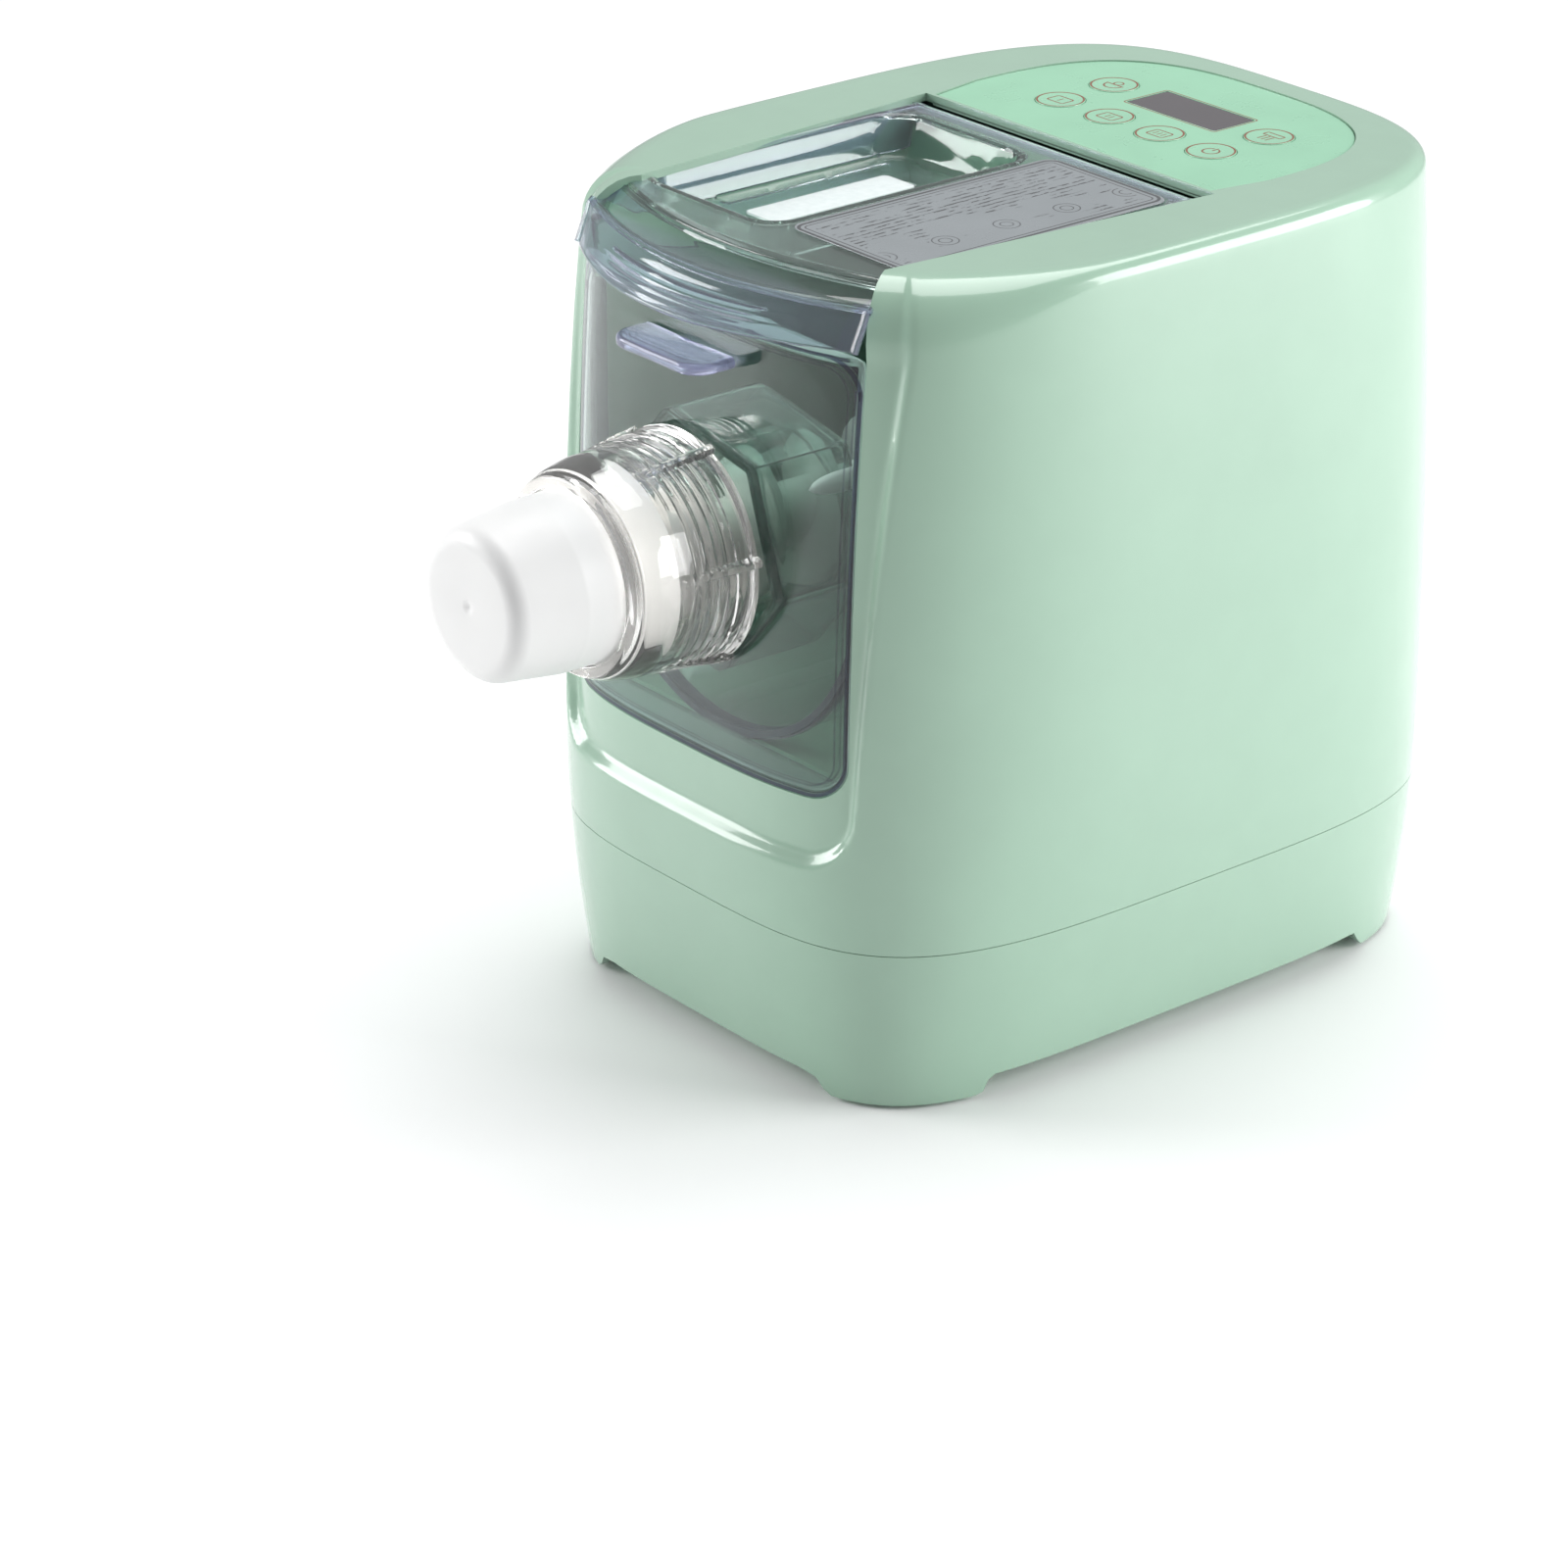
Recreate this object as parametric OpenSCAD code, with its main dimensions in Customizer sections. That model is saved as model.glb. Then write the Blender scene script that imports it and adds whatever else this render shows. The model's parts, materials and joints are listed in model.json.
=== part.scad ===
// Electric pasta maker: a loaf-shaped housing with a see-through mixing bay,
// a motor and gearbox behind it and an extruding nozzle in front.
// Millimetres, +Z up, the nozzle points along -Y. Heights are above the table.
// Distances along Y are measured from the middle of the body, and in_frame()
// sets every module in the part's own frame.

/* [Body] */
// Height of the body above the table
body_h = 285; // [270:1:310]
// Width of the body at its widest level
body_w = 222; // [205:1:250]
// Depth of the body at its deepest level
body_d = 285; // [272:1:320]
// Height of the widest level
waist_z = 100; // [85:1:110]
// How far each side draws in at the table
foot_taper_x = 14; // [6:1:18]
// How far front and back draw in at the table
foot_taper_y = 12; // [6:1:16]
// How far each side draws in at the top
top_taper_x = 6; // [2:1:9]
// How far front and back draw in at the top
top_taper_y = 7; // [2:1:9]
// Squareness of the body seen from above
corner_power = 3.4; // [2.8:0.1:5]
// Wall thickness of the housing
shell_t = 2.8; // [2:0.1:3.5]
// Radius of the top edge at the sides and the back
top_edge_r = 9; // [5:1:14]
// Radius of the top edge at the front
nose_edge_r = 22; // [12:1:26]
// Height of the seam between base and housing
seam_z = 59; // [52:1:66]
// Gap at the seam
seam_gap = 0.3; // [0.2:0.1:0.6]
// Depth of the sunk front panel
panel_recess = 4.5; // [3:0.5:6]
// Height of the lower edge of the sunk front panel
panel_bottom_z = 88; // [80:1:95]
// How far the sunk panel is wider than the opening in it, on each side
panel_margin = 2; // [1:0.5:3]

/* [Base] */
// Height of the skirt's lower edge between the feet
skirt_z = 8; // [6:1:11]
// Thickness of the base floor
floor_t = 3; // [2.4:0.2:4]
// Length of a foot along the front, from the body's widest side inwards
foot_len_x = 50; // [44:1:58]
// Length of a foot along the side, from the body's deepest point inwards
foot_len_y = 54; // [48:1:62]
// Radius of a rubber pad
pad_r = 9; // [6:0.5:10]
// Height of a rubber pad
pad_h = 3; // [2.4:0.2:4]
// How far a pad stands out of its foot
pad_proud = 1; // [0.6:0.2:1.6]
// Distance of the housing screws from the body's widest side
screw_inset = 27; // [25:1:29]
// Distance of the housing screws from the middle, front to back
screw_y = 62; // [56:1:72]
// Shank radius of a housing screw
screw_r = 1.8; // [1.5:0.1:2]
// Outer radius of a screw post
post_r = 5.5; // [4.5:0.5:6.5]

/* [Mixing bay] */
// Half width of the opening that lid and front cover fill
bay_half_w = 72; // [71.8:0.1:73]
// Rear edge of that opening
bay_back_y = 26.8; // [26.5:0.1:28]
// Lower edge of the opening
bay_bottom_z = 110; // [108:0.5:110.5]
// Radius of the opening's lower corners
bay_corner_r = 14; // [8:1:18]
// Height of the mixing and extruding axis
axis_z = 182; // [181:0.5:184]
// Inner radius of the mixing cup
cup_r = 67.4; // [66:0.1:67.6]
// Wall thickness of the mixing cup
cup_t = 2.4; // [2:0.1:2.6]
// Distance of the cup's rim below the lid's top face
cup_drop = 33; // [31:1:45]
// Distance of the cup's front edge behind the cover's face
cup_inset = 16.6; // [15:0.2:24]
// Inner face of the cup's rear wall
cup_back_y = 17; // [14:0.5:17.6]
// Wall thickness of the liner round the cup
liner_t = 2.5; // [2:0.1:3]
// Distance of the lid's ledges below its top face
ledge_drop = 15.8; // [14.2:0.2:18]

/* [Front cover] */
// Thickness of the clear front cover
cover_t = 2.8; // [2.2:0.1:3.5]
// Distance of the cover's top edge below the lip of the lid
cover_drop = 8.5; // [7.5:0.5:10]
// Gap round the cover in its opening
cover_gap = 0.5; // [0.3:0.1:0.8]
// Width of the finger tab
tab_w = 46; // [36:1:60]
// How far the finger tab stands out of the cover
tab_reach = 14.5; // [10:0.5:18]
// Distance of the tab's middle below the cover's top edge
tab_drop = 5; // [4:0.5:10]
// Thickness of the finger tab
tab_t = 4; // [3:0.5:5]
// Corner-to-corner radius of the six-sided neck behind the cover
neck_r = 45; // [40:0.5:46]
// Length of the neck behind the cover's face
neck_len = 44.6; // [36:0.2:50]
// Turn of the neck's corners about its axis
neck_turn = 48.6; // [0:0.1:60]

/* [Nozzle] */
// Bore radius of the extruding barrel
barrel_bore_r = 25.6; // [25.3:0.1:26.5]
// Outer radius of the barrel's threaded end
barrel_r = 33; // [31:0.1:33.1]
// Gap between the cover and the locking collar
collar_gap = 1.4; // [1:0.1:2.5]
// Length of the locking collar
collar_len = 47; // [42:0.5:52]
// Thickness of the collar's front lip
collar_lip_t = 4.5; // [3:0.5:6]
// Outer radius of the collar's rear rim
collar_rim_r = 40.5; // [38.5:0.1:42]
// Outer radius of the collar at its step
collar_step_r = 37; // [36:0.1:38]
// Length of the collar's ribbed rear part
collar_ribbed_len = 26; // [20:0.5:30]
// Outer radius of the collar's front ring
collar_front_r = 34.7; // [34:0.1:36]
// Outer radius of the nozzle cap
cap_r = 29; // [27:0.1:29.5]
// Length of the nozzle cap in front of the collar
cap_len = 39.5; // [30:0.5:48]
// Thickness of the cap's flange inside the collar
cap_flange_t = 8; // [6:0.5:10]
// Wall thickness of the nozzle cap
cap_t = 3; // [2.4:0.1:4]
// Rounding of the cap's front edge
cap_edge_r = 9; // [4:0.5:12]
// Radius of one noodle hole
noodle_r = 1.7; // [1:0.1:2]
// Noodle holes in one row
noodle_cols = 5; // [3:1:6]
// Rows of noodle holes
noodle_rows = 4; // [2:1:5]

/* [Auger and paddle] */
// Outer radius of the screw
auger_r = 25; // [23:0.1:25.2]
// Core radius of the screw
auger_core_r = 11; // [10.5:0.5:14]
// Pitch of the screw
auger_pitch = 27; // [20:1:40]
// Across-corners radius of the drive hexagon
hex_r = 7; // [6:0.1:7.4]
// Gap between a mixing bar and the cup's round wall
bar_gap = 9.8; // [6:0.1:13]
// Half thickness of a mixing bar
bar_half_t = 3.6; // [3:0.1:4]
// Angle of the first mixing bar above level
bar_angle = 32; // [0:1:90]

/* [Drive] */
// Radius of the main drive shaft
shaft_r = 8; // [7.4:0.1:8.6]
// Running clearance on a radius
run_gap = 0.06; // [0.02:0.01:0.09]
// Module of the slow gear pair
slow_module = 1.5; // [1.5:0.05:1.6]
// Teeth of the output gear
output_teeth = 62; // [62:1:62]
// Teeth of the small gear that drives it
slow_pinion_teeth = 14; // [14:1:14]
// Module of the fast gear pair
fast_module = 1.25; // [1.2:0.05:1.3]
// Teeth of the idler's large gear
idler_teeth = 56; // [56:1:56]
// Teeth of the motor pinion
motor_pinion_teeth = 12; // [12:1:12]
// Pressure angle of the teeth
pressure_angle = 25; // [20:1:28]
// Play between the flanks of meshing teeth
backlash = 0.2; // [0.1:0.05:0.3]
// Outer radius of the motor
motor_r = 32; // [28:0.5:34]
// Length of the motor
motor_len = 46; // [40:1:50]
// Radius of the fan blades
fan_r = 28; // [22:0.5:32]

/* [Lid] */
// Distance of the lid's top face below the body's top
lid_sunk = 1.8; // [1:0.1:2.4]
// Wall thickness of the lid
lid_t = 2.6; // [2.2:0.1:3]
// Distance of the flat top's front ridge behind the cover's face
ridge_inset = 14.6; // [10:0.2:20]
// How far the ridge falls back at the lid's sides
ridge_sag = 15; // [8:0.5:18]
// Distance of the lip's root line behind the cover's face
root_inset = 0.6; // [-2:0.2:4]
// How far the root line falls back at the lid's sides
root_sag = 17; // [10:0.5:20]
// Distance of the root line below the lid's top face
root_drop = 5.7; // [4:0.1:8]
// How far the lip stands out of the cover's face
lip_reach = 12.4; // [8:0.2:16]
// How far the lip falls back at the lid's sides
lip_sag = 27; // [18:0.5:30]
// Distance of the lip's lower edge below the lid's top face
lip_drop = 20.2; // [18:0.2:24]
// Left side of the pouring basin in the lid
basin_left_x = -66.4; // [-66.8:0.2:-60]
// Right side of the pouring basin
basin_right_x = 1; // [-10:0.5:3]
// Distance of the basin's front behind the flat top's ridge
basin_inset = 20; // [18:0.5:30]
// Rear of the pouring basin
basin_back_y = 9; // [0:0.5:10]
// Depth of the pouring basin below the lid's top
basin_depth = 13; // [10:0.5:13]
// Radius of a drain hole in the basin
drain_r = 1.6; // [1:0.1:2]
// Radius of the round rear edge of the lid, in which it turns
roll_r = 5.7; // [5:0.1:6]
// Radius of a hinge pin
pin_r = 2; // [1.6:0.1:2.4]
// Thickness of the printed plate on the lid
plate_t = 0.5; // [0.4:0.1:0.8]

/* [Control panel] */
// Thickness of the panel film
film_t = 1.2; // [1:0.1:1.4]
// How deep the film's face lies below the top
film_sunk = 0.4; // [0.2:0.1:0.6]
// Front edge of the panel film
film_front_y = 29; // [28.5:0.5:34]
// Distance of the panel film's rear edge from the body's deepest point
film_inset = 21.5; // [20:0.5:32]
// Half width of the panel film
film_half_w = 72; // [66:1:76]
// Radius of a key
key_r = 8.7; // [7.5:0.1:9]
// Travel of a key
key_travel = 0.4; // [0.3:0.1:0.5]
// Distance between the keys of the front row
key_pitch = 25; // [23:0.5:26]
// Position of the front row of keys
key_row_y = 58; // [55:0.5:60]
// Position of the rear keys
rear_key_y = 84; // [80:0.5:87]
// Distance of the rear keys from the centre line
rear_key_x = 38.5; // [36:0.5:42]
// Width of the display
display_w = 43.5; // [36:0.5:46]
// Depth of the display
display_d = 19; // [14:0.5:22]

/* [Power inlet] */
// Width of the inlet's flange
inlet_w = 46; // [44:1:52]
// Height of the inlet's flange
inlet_h = 24; // [22:1:26]
// Distance of the inlet's middle below the fan
inlet_drop = 20.3; // [18:0.1:24]

/* [Hidden] */

$fn = 96;
gap = 0.3;                     // gap between neighbouring faces of fixed pieces
seat_gap = 0.03;               // gap round a screw or pin in its hole
far = 500;                     // longer than anything, for cuts
bite = 0.1;                    // how deep a boss or rib bites into what carries it
mint = [0.70, 0.84, 0.76];
light_mint = [0.71, 0.87, 0.78];
smoke = [0.45, 0.50, 0.56, 0.45];
clear = [0.80, 0.80, 0.78, 0.4];
white = [0.95, 0.95, 0.94];
grey = [0.62, 0.63, 0.64];
dark = [0.12, 0.12, 0.13];
steel = [0.72, 0.73, 0.75];
copper = [0.72, 0.42, 0.22];
board_green = [0.10, 0.36, 0.20];

// ---- places of the gear train ----
centre_spread = 0.1;           // axles stand this much further apart than the pitch circles
slow_centre = slow_module * (output_teeth + slow_pinion_teeth) / 2 + centre_spread;
fast_centre = fast_module * (idler_teeth + motor_pinion_teeth) / 2 + centre_spread;
idler_z = axis_z - slow_centre;
motor_z = idler_z - fast_centre;
output_room_r = slow_module * (output_teeth / 2 + 1) + 2.5;
idler_room_r = fast_module * (idler_teeth / 2 + 1) + 2.5;
motor_room_r = fast_module * (motor_pinion_teeth / 2 + 1) + 4;

// ---- shape of the body ----
top_z = body_h;
low_steps = 3;
high_steps = 4;
arc_steps = 4;
// How far a face has drawn in at height z: a soft bow above and below the waist
function drawn_in(z, low, high) =
    z > waist_z ? high * pow((z - waist_z) / (top_z - waist_z), 2)
                : low * pow((waist_z - z) / waist_z, 1.4);
function half_w(z) = body_w / 2 - drawn_in(z, foot_taper_x, top_taper_x);
function half_d(z) = body_d / 2 - drawn_in(z, foot_taper_y, top_taper_y);
half_w_line = function (z) half_w(z);
half_d_line = function (z) half_d(z);
// One side of an upright outline, from the table to the rounded top edge
function side_line(half, r, inset) =
    let (q = max(r - inset, 0.5))
    concat(
        [for (i = [0:low_steps - 1])
            let (z = waist_z * i / low_steps) [half(z) - inset, z]],
        [for (i = [0:high_steps])
            let (z = waist_z + (top_z - r - waist_z) * i / high_steps) [half(z) - inset, z]],
        [for (i = [1:arc_steps])
            let (t = 90 * i / arc_steps)
            [half(top_z - r) - inset - q * (1 - cos(t)), top_z - inset - q + q * sin(t)]]);
function flipped(line) = [for (i = [len(line) - 1:-1:0]) [-line[i].x, line[i].y]];

// Power oval: a rounded rectangle whose faces bow outwards
module power_oval(a, b, power) {
    steps = 72;
    polygon([for (i = [0:steps - 1])
        let (t = 360 * i / steps, c = cos(t), s = sin(t))
        [a * sign(c) * pow(abs(c), 2 / power), b * sign(s) * pow(abs(s), 2 / power)]]);
}

// The solid body, drawn in all round by an even wall thickness
module body_solid(inset = 0) {
    intersection() {
        linear_extrude(top_z)
            power_oval(body_w / 2 - inset, body_d / 2 - inset, corner_power);
        rotate([90, 0, 0])
            linear_extrude(far, center = true)
                polygon(concat(side_line(half_w_line, top_edge_r, inset),
                               flipped(side_line(half_w_line, top_edge_r, inset))));
        rotate([90, 0, 90])
            linear_extrude(far, center = true)
                polygon(concat(side_line(half_d_line, top_edge_r, inset),
                               flipped(side_line(half_d_line, nose_edge_r, inset))));
    }
}

// ---- places that several pieces share ----
cover_face_y = -(half_d(axis_z) - panel_recess);   // front of the cover, on the axis
cup_front_y = cover_face_y + cup_inset;
neck_back_y = cover_face_y + neck_len;
collar_back_y = cover_face_y - collar_gap;
collar_front_y = collar_back_y - collar_len;
collar_step_y = collar_back_y - collar_ribbed_len;
cap_front_y = collar_front_y - cap_len;
cap_flange_y = collar_front_y + collar_lip_t + gap / 2;
barrel_front_y = cap_flange_y + cap_flange_t + gap / 2;
lid_top_z = top_z - lid_sunk;
cup_top_z = lid_top_z - cup_drop;
ledge_z = lid_top_z - ledge_drop;
lip_z = lid_top_z - lip_drop;
cover_top_z = lip_z - cover_drop;
tab_z = cover_top_z - tab_drop;
roof_low_z = top_z - shell_t;
film_top_z = top_z - film_sunk;
film_low_z = film_top_z - film_t;
film_back_y = body_d / 2 - film_inset;
screw_x = body_w / 2 - screw_inset;
pad_x = body_w / 2 - foot_len_x + 11;
pad_y = body_d / 2 - foot_len_y + 9;
floor_z = skirt_z + floor_t;

// The frame's origin lies under the middle of the whole length, nozzle included
body_y = -(cap_front_y + body_d / 2) / 2;
module in_frame() {
    translate([0, body_y, 0])
        children();
}

// ---- helpers ----
module box(low, high) {
    translate(low)
        cube(high - low);
}
// Round bar along Y, on the mixing axis unless another place is given
module rod_y(r, y0, y1, x = 0, z = axis_z) {
    translate([x, y1, z])
        rotate([90, 0, 0])
            cylinder(r = r, h = y1 - y0);
}
module rod_x(r, x0, x1, y, z) {
    translate([x0, y, z])
        rotate([0, 90, 0])
            cylinder(r = r, h = x1 - x0);
}
module rod_z(r, z0, z1, x = 0, y = 0) {
    translate([x, y, z0])
        cylinder(r = r, h = z1 - z0);
}
// A flat outline in X and Z, drawn from y0 to y1
module slab_y(y0, y1) {
    translate([0, y1, 0])
        rotate([90, 0, 0])
            linear_extrude(y1 - y0)
                children();
}
// The child and its mirror image left of the middle plane
module both_sides() {
    for (s = [0, 1])
        mirror([s, 0, 0])
            children();
}
// The child four times, mirrored about both middle planes
module at_corners(x, y) {
    both_sides()
        for (s = [0, 1])
            mirror([0, s, 0])
                translate([x, y, 0])
                    children();
}

// ---- housing ----
// Opening for lid and front cover, with its lower corners rounded
module bay_outline(shrink = 0) {
    half = bay_half_w - shrink;
    low = bay_bottom_z + shrink;
    r = bay_corner_r - shrink;
    translate([-half + r, low])
        square([2 * (half - r), 2 * r]);
    for (s = [-1, 1])
        translate([s * (half - r), low + r])
            circle(r);
    translate([-half, low + r])
        square([2 * half, far]);
}
film_flare_d = 22;             // depth of the film's front part
film_front_share = 0.95;       // width of the film's front edge against its widest
film_power = 2.7;              // squareness of the film's rear
module film_outline(shrink = 0) {
    steps = 24;
    half = film_half_w - shrink;
    low = film_front_y + shrink;
    mid = film_front_y + film_flare_d;
    deep = film_back_y - shrink - mid;
    k = 2 / film_power;
    polygon(concat(
        [[-film_front_share * half, low], [film_front_share * half, low]],
        [for (i = [0:steps])
            let (t = 180 * i / steps, c = cos(t))
            [half * sign(c) * pow(abs(c), k), mid + deep * pow(abs(sin(t)), k)]]));
}
key_stem_r = 2.2;
board_post_r = 3;
board_post_x = 50;
board_post_ys = [51, 97];
board_screw_r = 1.2;
board_top_z = roof_low_z - 5.7;
board_t = 1.6;
roof_groove = 0.1;             // room under the film
vent_pitch = 9;
vent_w = 3;
vent_low_z = 72;
vent_h = 52;
vent_count = 9;
socket_h = 22;
socket_rib_t = 2.4;
panel_back_y = -(body_d / 2 - nose_edge_r) + 2.5;   // the sunk panel ends ahead of this
key_spots = [[-1.5 * key_pitch, key_row_y], [-0.5 * key_pitch, key_row_y],
             [0.5 * key_pitch, key_row_y], [1.5 * key_pitch, key_row_y],
             [-rear_key_x, rear_key_y], [rear_key_x, rear_key_y]];
module display_outline(grow = 0) {
    translate([0, rear_key_y])
        square([display_w + 2 * grow, display_d + 2 * grow], center = true);
}
// The part of the front that lies outside an inner face sunk to this depth
module sunk_front(depth, grow) {
    half = bay_half_w + panel_margin + grow;
    difference() {
        box([-half, -far, panel_bottom_z - grow], [half, panel_back_y, far]);
        body_solid(depth);
    }
}
module upper_housing() {
    color(mint)
        in_frame() {
            difference() {
                body_solid();
                difference() {
                    body_solid(shell_t);
                    sunk_front(panel_recess + shell_t, shell_t);
                }
                sunk_front(panel_recess, 0);
                box([-far, -far, -1], [far, far, seam_z + seam_gap / 2]);
                slab_y(-far, bay_back_y)
                    bay_outline();
                translate([0, 0, film_low_z - roof_groove])
                    linear_extrude(far)
                        film_outline(-gap);
                translate([0, 0, roof_low_z - 1])
                    linear_extrude(far)
                        display_outline(-2);
                for (p = key_spots)
                    rod_z(key_stem_r + gap, roof_low_z - 1, top_z + 1, p.x, p.y);
                for (i = [0:vent_count - 1])
                    translate([(i - (vent_count - 1) / 2) * vent_pitch - vent_w / 2,
                               body_d / 4, vent_low_z])
                        cube([vent_w, far, vent_h]);
            }
            for (x = [-board_post_x, board_post_x], y = board_post_ys)
                difference() {
                    rod_z(board_post_r, board_top_z, roof_low_z + bite, x, y);
                    rod_z(board_screw_r + seat_gap, board_top_z - 1, roof_low_z - 0.6, x, y);
                }
            screw_sockets();
        }
}
// Four posts inside the side walls that take the housing screws
module screw_sockets() {
    z0 = seam_z + seam_gap / 2;
    intersection() {
        body_solid(shell_t / 2);
        at_corners(screw_x, screw_y)
            difference() {
                union() {
                    rod_z(post_r, z0, z0 + socket_h);
                    box([0, -socket_rib_t / 2, z0], [2 * screw_inset, socket_rib_t / 2, z0 + socket_h]);
                }
                rod_z(screw_r + seat_gap, z0 - 1, z0 + socket_h - 2);
            }
    }
}

// ---- base ----
base_vent_count = 7;
base_vent_pitch = 10;
base_vent_y0 = 30;
base_vent_len = 34;
stand_x = 40;
stand_ys = [-86, -38];
stand_r = 3;
stand_z = 18;
pad_pocket_gap = 0.1;
inlet_z = motor_z - fan_r - inlet_drop;
inlet_face_y = half_d(inlet_z) - 0.8;
inlet_flange_t = 2.4;
inlet_pad_t = 5;
inlet_gap = 0.2;
inlet_body_w = 27.4;
inlet_body_h = 19.4;
inlet_screw_x = 18.5;
inlet_screw_r = 1.5;
screw_head_r = 3.5;
screw_head_h = 2.6;
screw_head_z = skirt_z + 1;
module base_shell() {
    flange_y = inlet_face_y - inlet_flange_t;
    color(mint)
        in_frame()
            difference() {
                union() {
                    difference() {
                        body_solid();
                        difference() {
                            body_solid(shell_t);
                            box([-far, -far, -1], [far, far, floor_z]);
                        }
                    }
                    at_corners(screw_x, screw_y)
                        rod_z(post_r, floor_z - bite, seam_z);
                    for (x = [-stand_x, stand_x], y = stand_ys)
                        rod_z(stand_r, floor_z - bite, stand_z, x, y);
                    intersection() {
                        body_solid();
                        box([-inlet_w / 2 - 4, flange_y - inlet_pad_t, inlet_z - inlet_h / 2 - 3],
                            [inlet_w / 2 + 4, far, inlet_z + inlet_h / 2 + 3]);
                    }
                }
                box([-far, -far, seam_z - seam_gap / 2], [far, far, far]);
                box([-far, -body_d / 2 + foot_len_y, -1], [far, body_d / 2 - foot_len_y, skirt_z]);
                box([-body_w / 2 + foot_len_x, -far, -1], [body_w / 2 - foot_len_x, far, skirt_z]);
                box([-far, -far, -1], [far, far, pad_proud]);
                at_corners(screw_x, screw_y) {
                    rod_z(screw_r + gap, -1, far);
                    rod_z(screw_head_r + gap, -1, screw_head_z + screw_head_h);
                }
                at_corners(pad_x, pad_y)
                    rod_z(pad_r + pad_pocket_gap, -1, pad_h + pad_pocket_gap);
                for (i = [0:base_vent_count - 1])
                    translate([(i - (base_vent_count - 1) / 2) * base_vent_pitch - vent_w / 2,
                               base_vent_y0, -1])
                        cube([vent_w, base_vent_len, floor_z + 2]);
                box([-inlet_w / 2 - inlet_gap, flange_y, inlet_z - inlet_h / 2 - inlet_gap],
                    [inlet_w / 2 + inlet_gap, far, inlet_z + inlet_h / 2 + inlet_gap]);
                box([-inlet_body_w / 2 - inlet_gap, 0, inlet_z - inlet_body_h / 2 - inlet_gap],
                    [inlet_body_w / 2 + inlet_gap, far, inlet_z + inlet_body_h / 2 + inlet_gap]);
                both_sides()
                    rod_y(inlet_screw_r + seat_gap, flange_y - inlet_pad_t - 1, far,
                          inlet_screw_x, inlet_z);
            }
}
module rubber_feet() {
    color(dark)
        in_frame()
            at_corners(pad_x, pad_y)
                rod_z(pad_r, 0, pad_h);
}
module housing_screws() {
    color(steel)
        in_frame()
            at_corners(screw_x, screw_y) {
                rod_z(screw_head_r, screw_head_z, screw_head_z + screw_head_h);
                rod_z(screw_r, screw_head_z, seam_z + seam_gap / 2 + socket_h - 3);
            }
}

// ---- power inlet ----
inlet_wall_t = 1.6;
inlet_len = 20;
blade_len = 9;
module power_inlet() {
    flange_y = inlet_face_y - inlet_flange_t;
    inner_w = inlet_body_w - 2 * inlet_wall_t;
    inner_h = inlet_body_h - 2 * inlet_wall_t;
    color(dark)
        in_frame() {
            difference() {
                union() {
                    box([-inlet_w / 2, flange_y, inlet_z - inlet_h / 2],
                        [inlet_w / 2, inlet_face_y, inlet_z + inlet_h / 2]);
                    box([-inlet_body_w / 2, flange_y - inlet_len, inlet_z - inlet_body_h / 2],
                        [inlet_body_w / 2, inlet_face_y, inlet_z + inlet_body_h / 2]);
                }
                box([-inner_w / 2, inlet_face_y - inlet_len, inlet_z - inner_h / 2],
                    [inner_w / 2, far, inlet_z + inner_h / 2]);
                both_sides()
                    rod_y(inlet_screw_r + seat_gap, 0, far, inlet_screw_x, inlet_z);
            }
            for (p = [[-7, -2], [0, 2], [7, -2]])
                box([p.x - 1, inlet_face_y - inlet_len - bite, inlet_z + p.y - 2],
                    [p.x + 1, inlet_face_y - inlet_len + blade_len, inlet_z + p.y + 2]);
        }
}
module inlet_screws() {
    color(steel)
        in_frame()
            both_sides() {
                rod_y(2.8, inlet_face_y, inlet_face_y + 1, inlet_screw_x, inlet_z);
                rod_y(inlet_screw_r, inlet_face_y - inlet_flange_t - inlet_pad_t + 0.5,
                      inlet_face_y + 1, inlet_screw_x, inlet_z);
            }
}

// ---- electronics in the base ----
module power_board() {
    z = stand_z + board_t;
    color(board_green)
        in_frame() {
            box([-46, stand_ys[0] - 6, stand_z], [46, stand_ys[1] + 6, z]);
            // transformer, relay, filter choke
            box([-38, -82, z - bite], [-12, -56, z + 21]);
            box([-2, -80, z - bite], [16, -66, z + 15]);
            box([20, -60, z - bite], [38, -42, z + 12]);
            // smoothing capacitors
            for (y = [-84, -72])
                rod_z(5, z - bite, z + 22, 30, y);
        }
}

// ---- mixing bay ----
cup_out_r = cup_r + cup_t;
liner_in_x = bay_half_w + gap;
liner_out_x = liner_in_x + liner_t;
liner_front_y = cup_front_y + 3;
liner_back_y = cup_back_y + cup_t + 1;
box_front_y = liner_back_y + 3.5;          // where the gearbox is bolted on
liner_floor_top_z = axis_z - cup_out_r - gap;
liner_floor_z = liner_floor_top_z - 3.4;
roll_gap = 0.9;
roll_y = bay_back_y - roll_r - roll_gap;
roll_z = lid_top_z - roll_r;
ledge_w = 4.5;
ledge_ys = [-85, 5];
leg_r = 5;
leg_x = 62;
leg_ys = [-95, 12];
switch_y = -60;
switch_z = lid_top_z - 10;
switch_button_r = 1.5;
bolt_r = 2;
bolt_reach = output_room_r + 7.5;          // upper bolts stand round the output gear
bolt_x = bolt_reach * cos(30);
bolt_z = axis_z + bolt_reach * sin(30);
bolt_spots = [[-bolt_x, bolt_z], [bolt_x, bolt_z], [-46, axis_z - 66], [46, axis_z - 66]];
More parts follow.
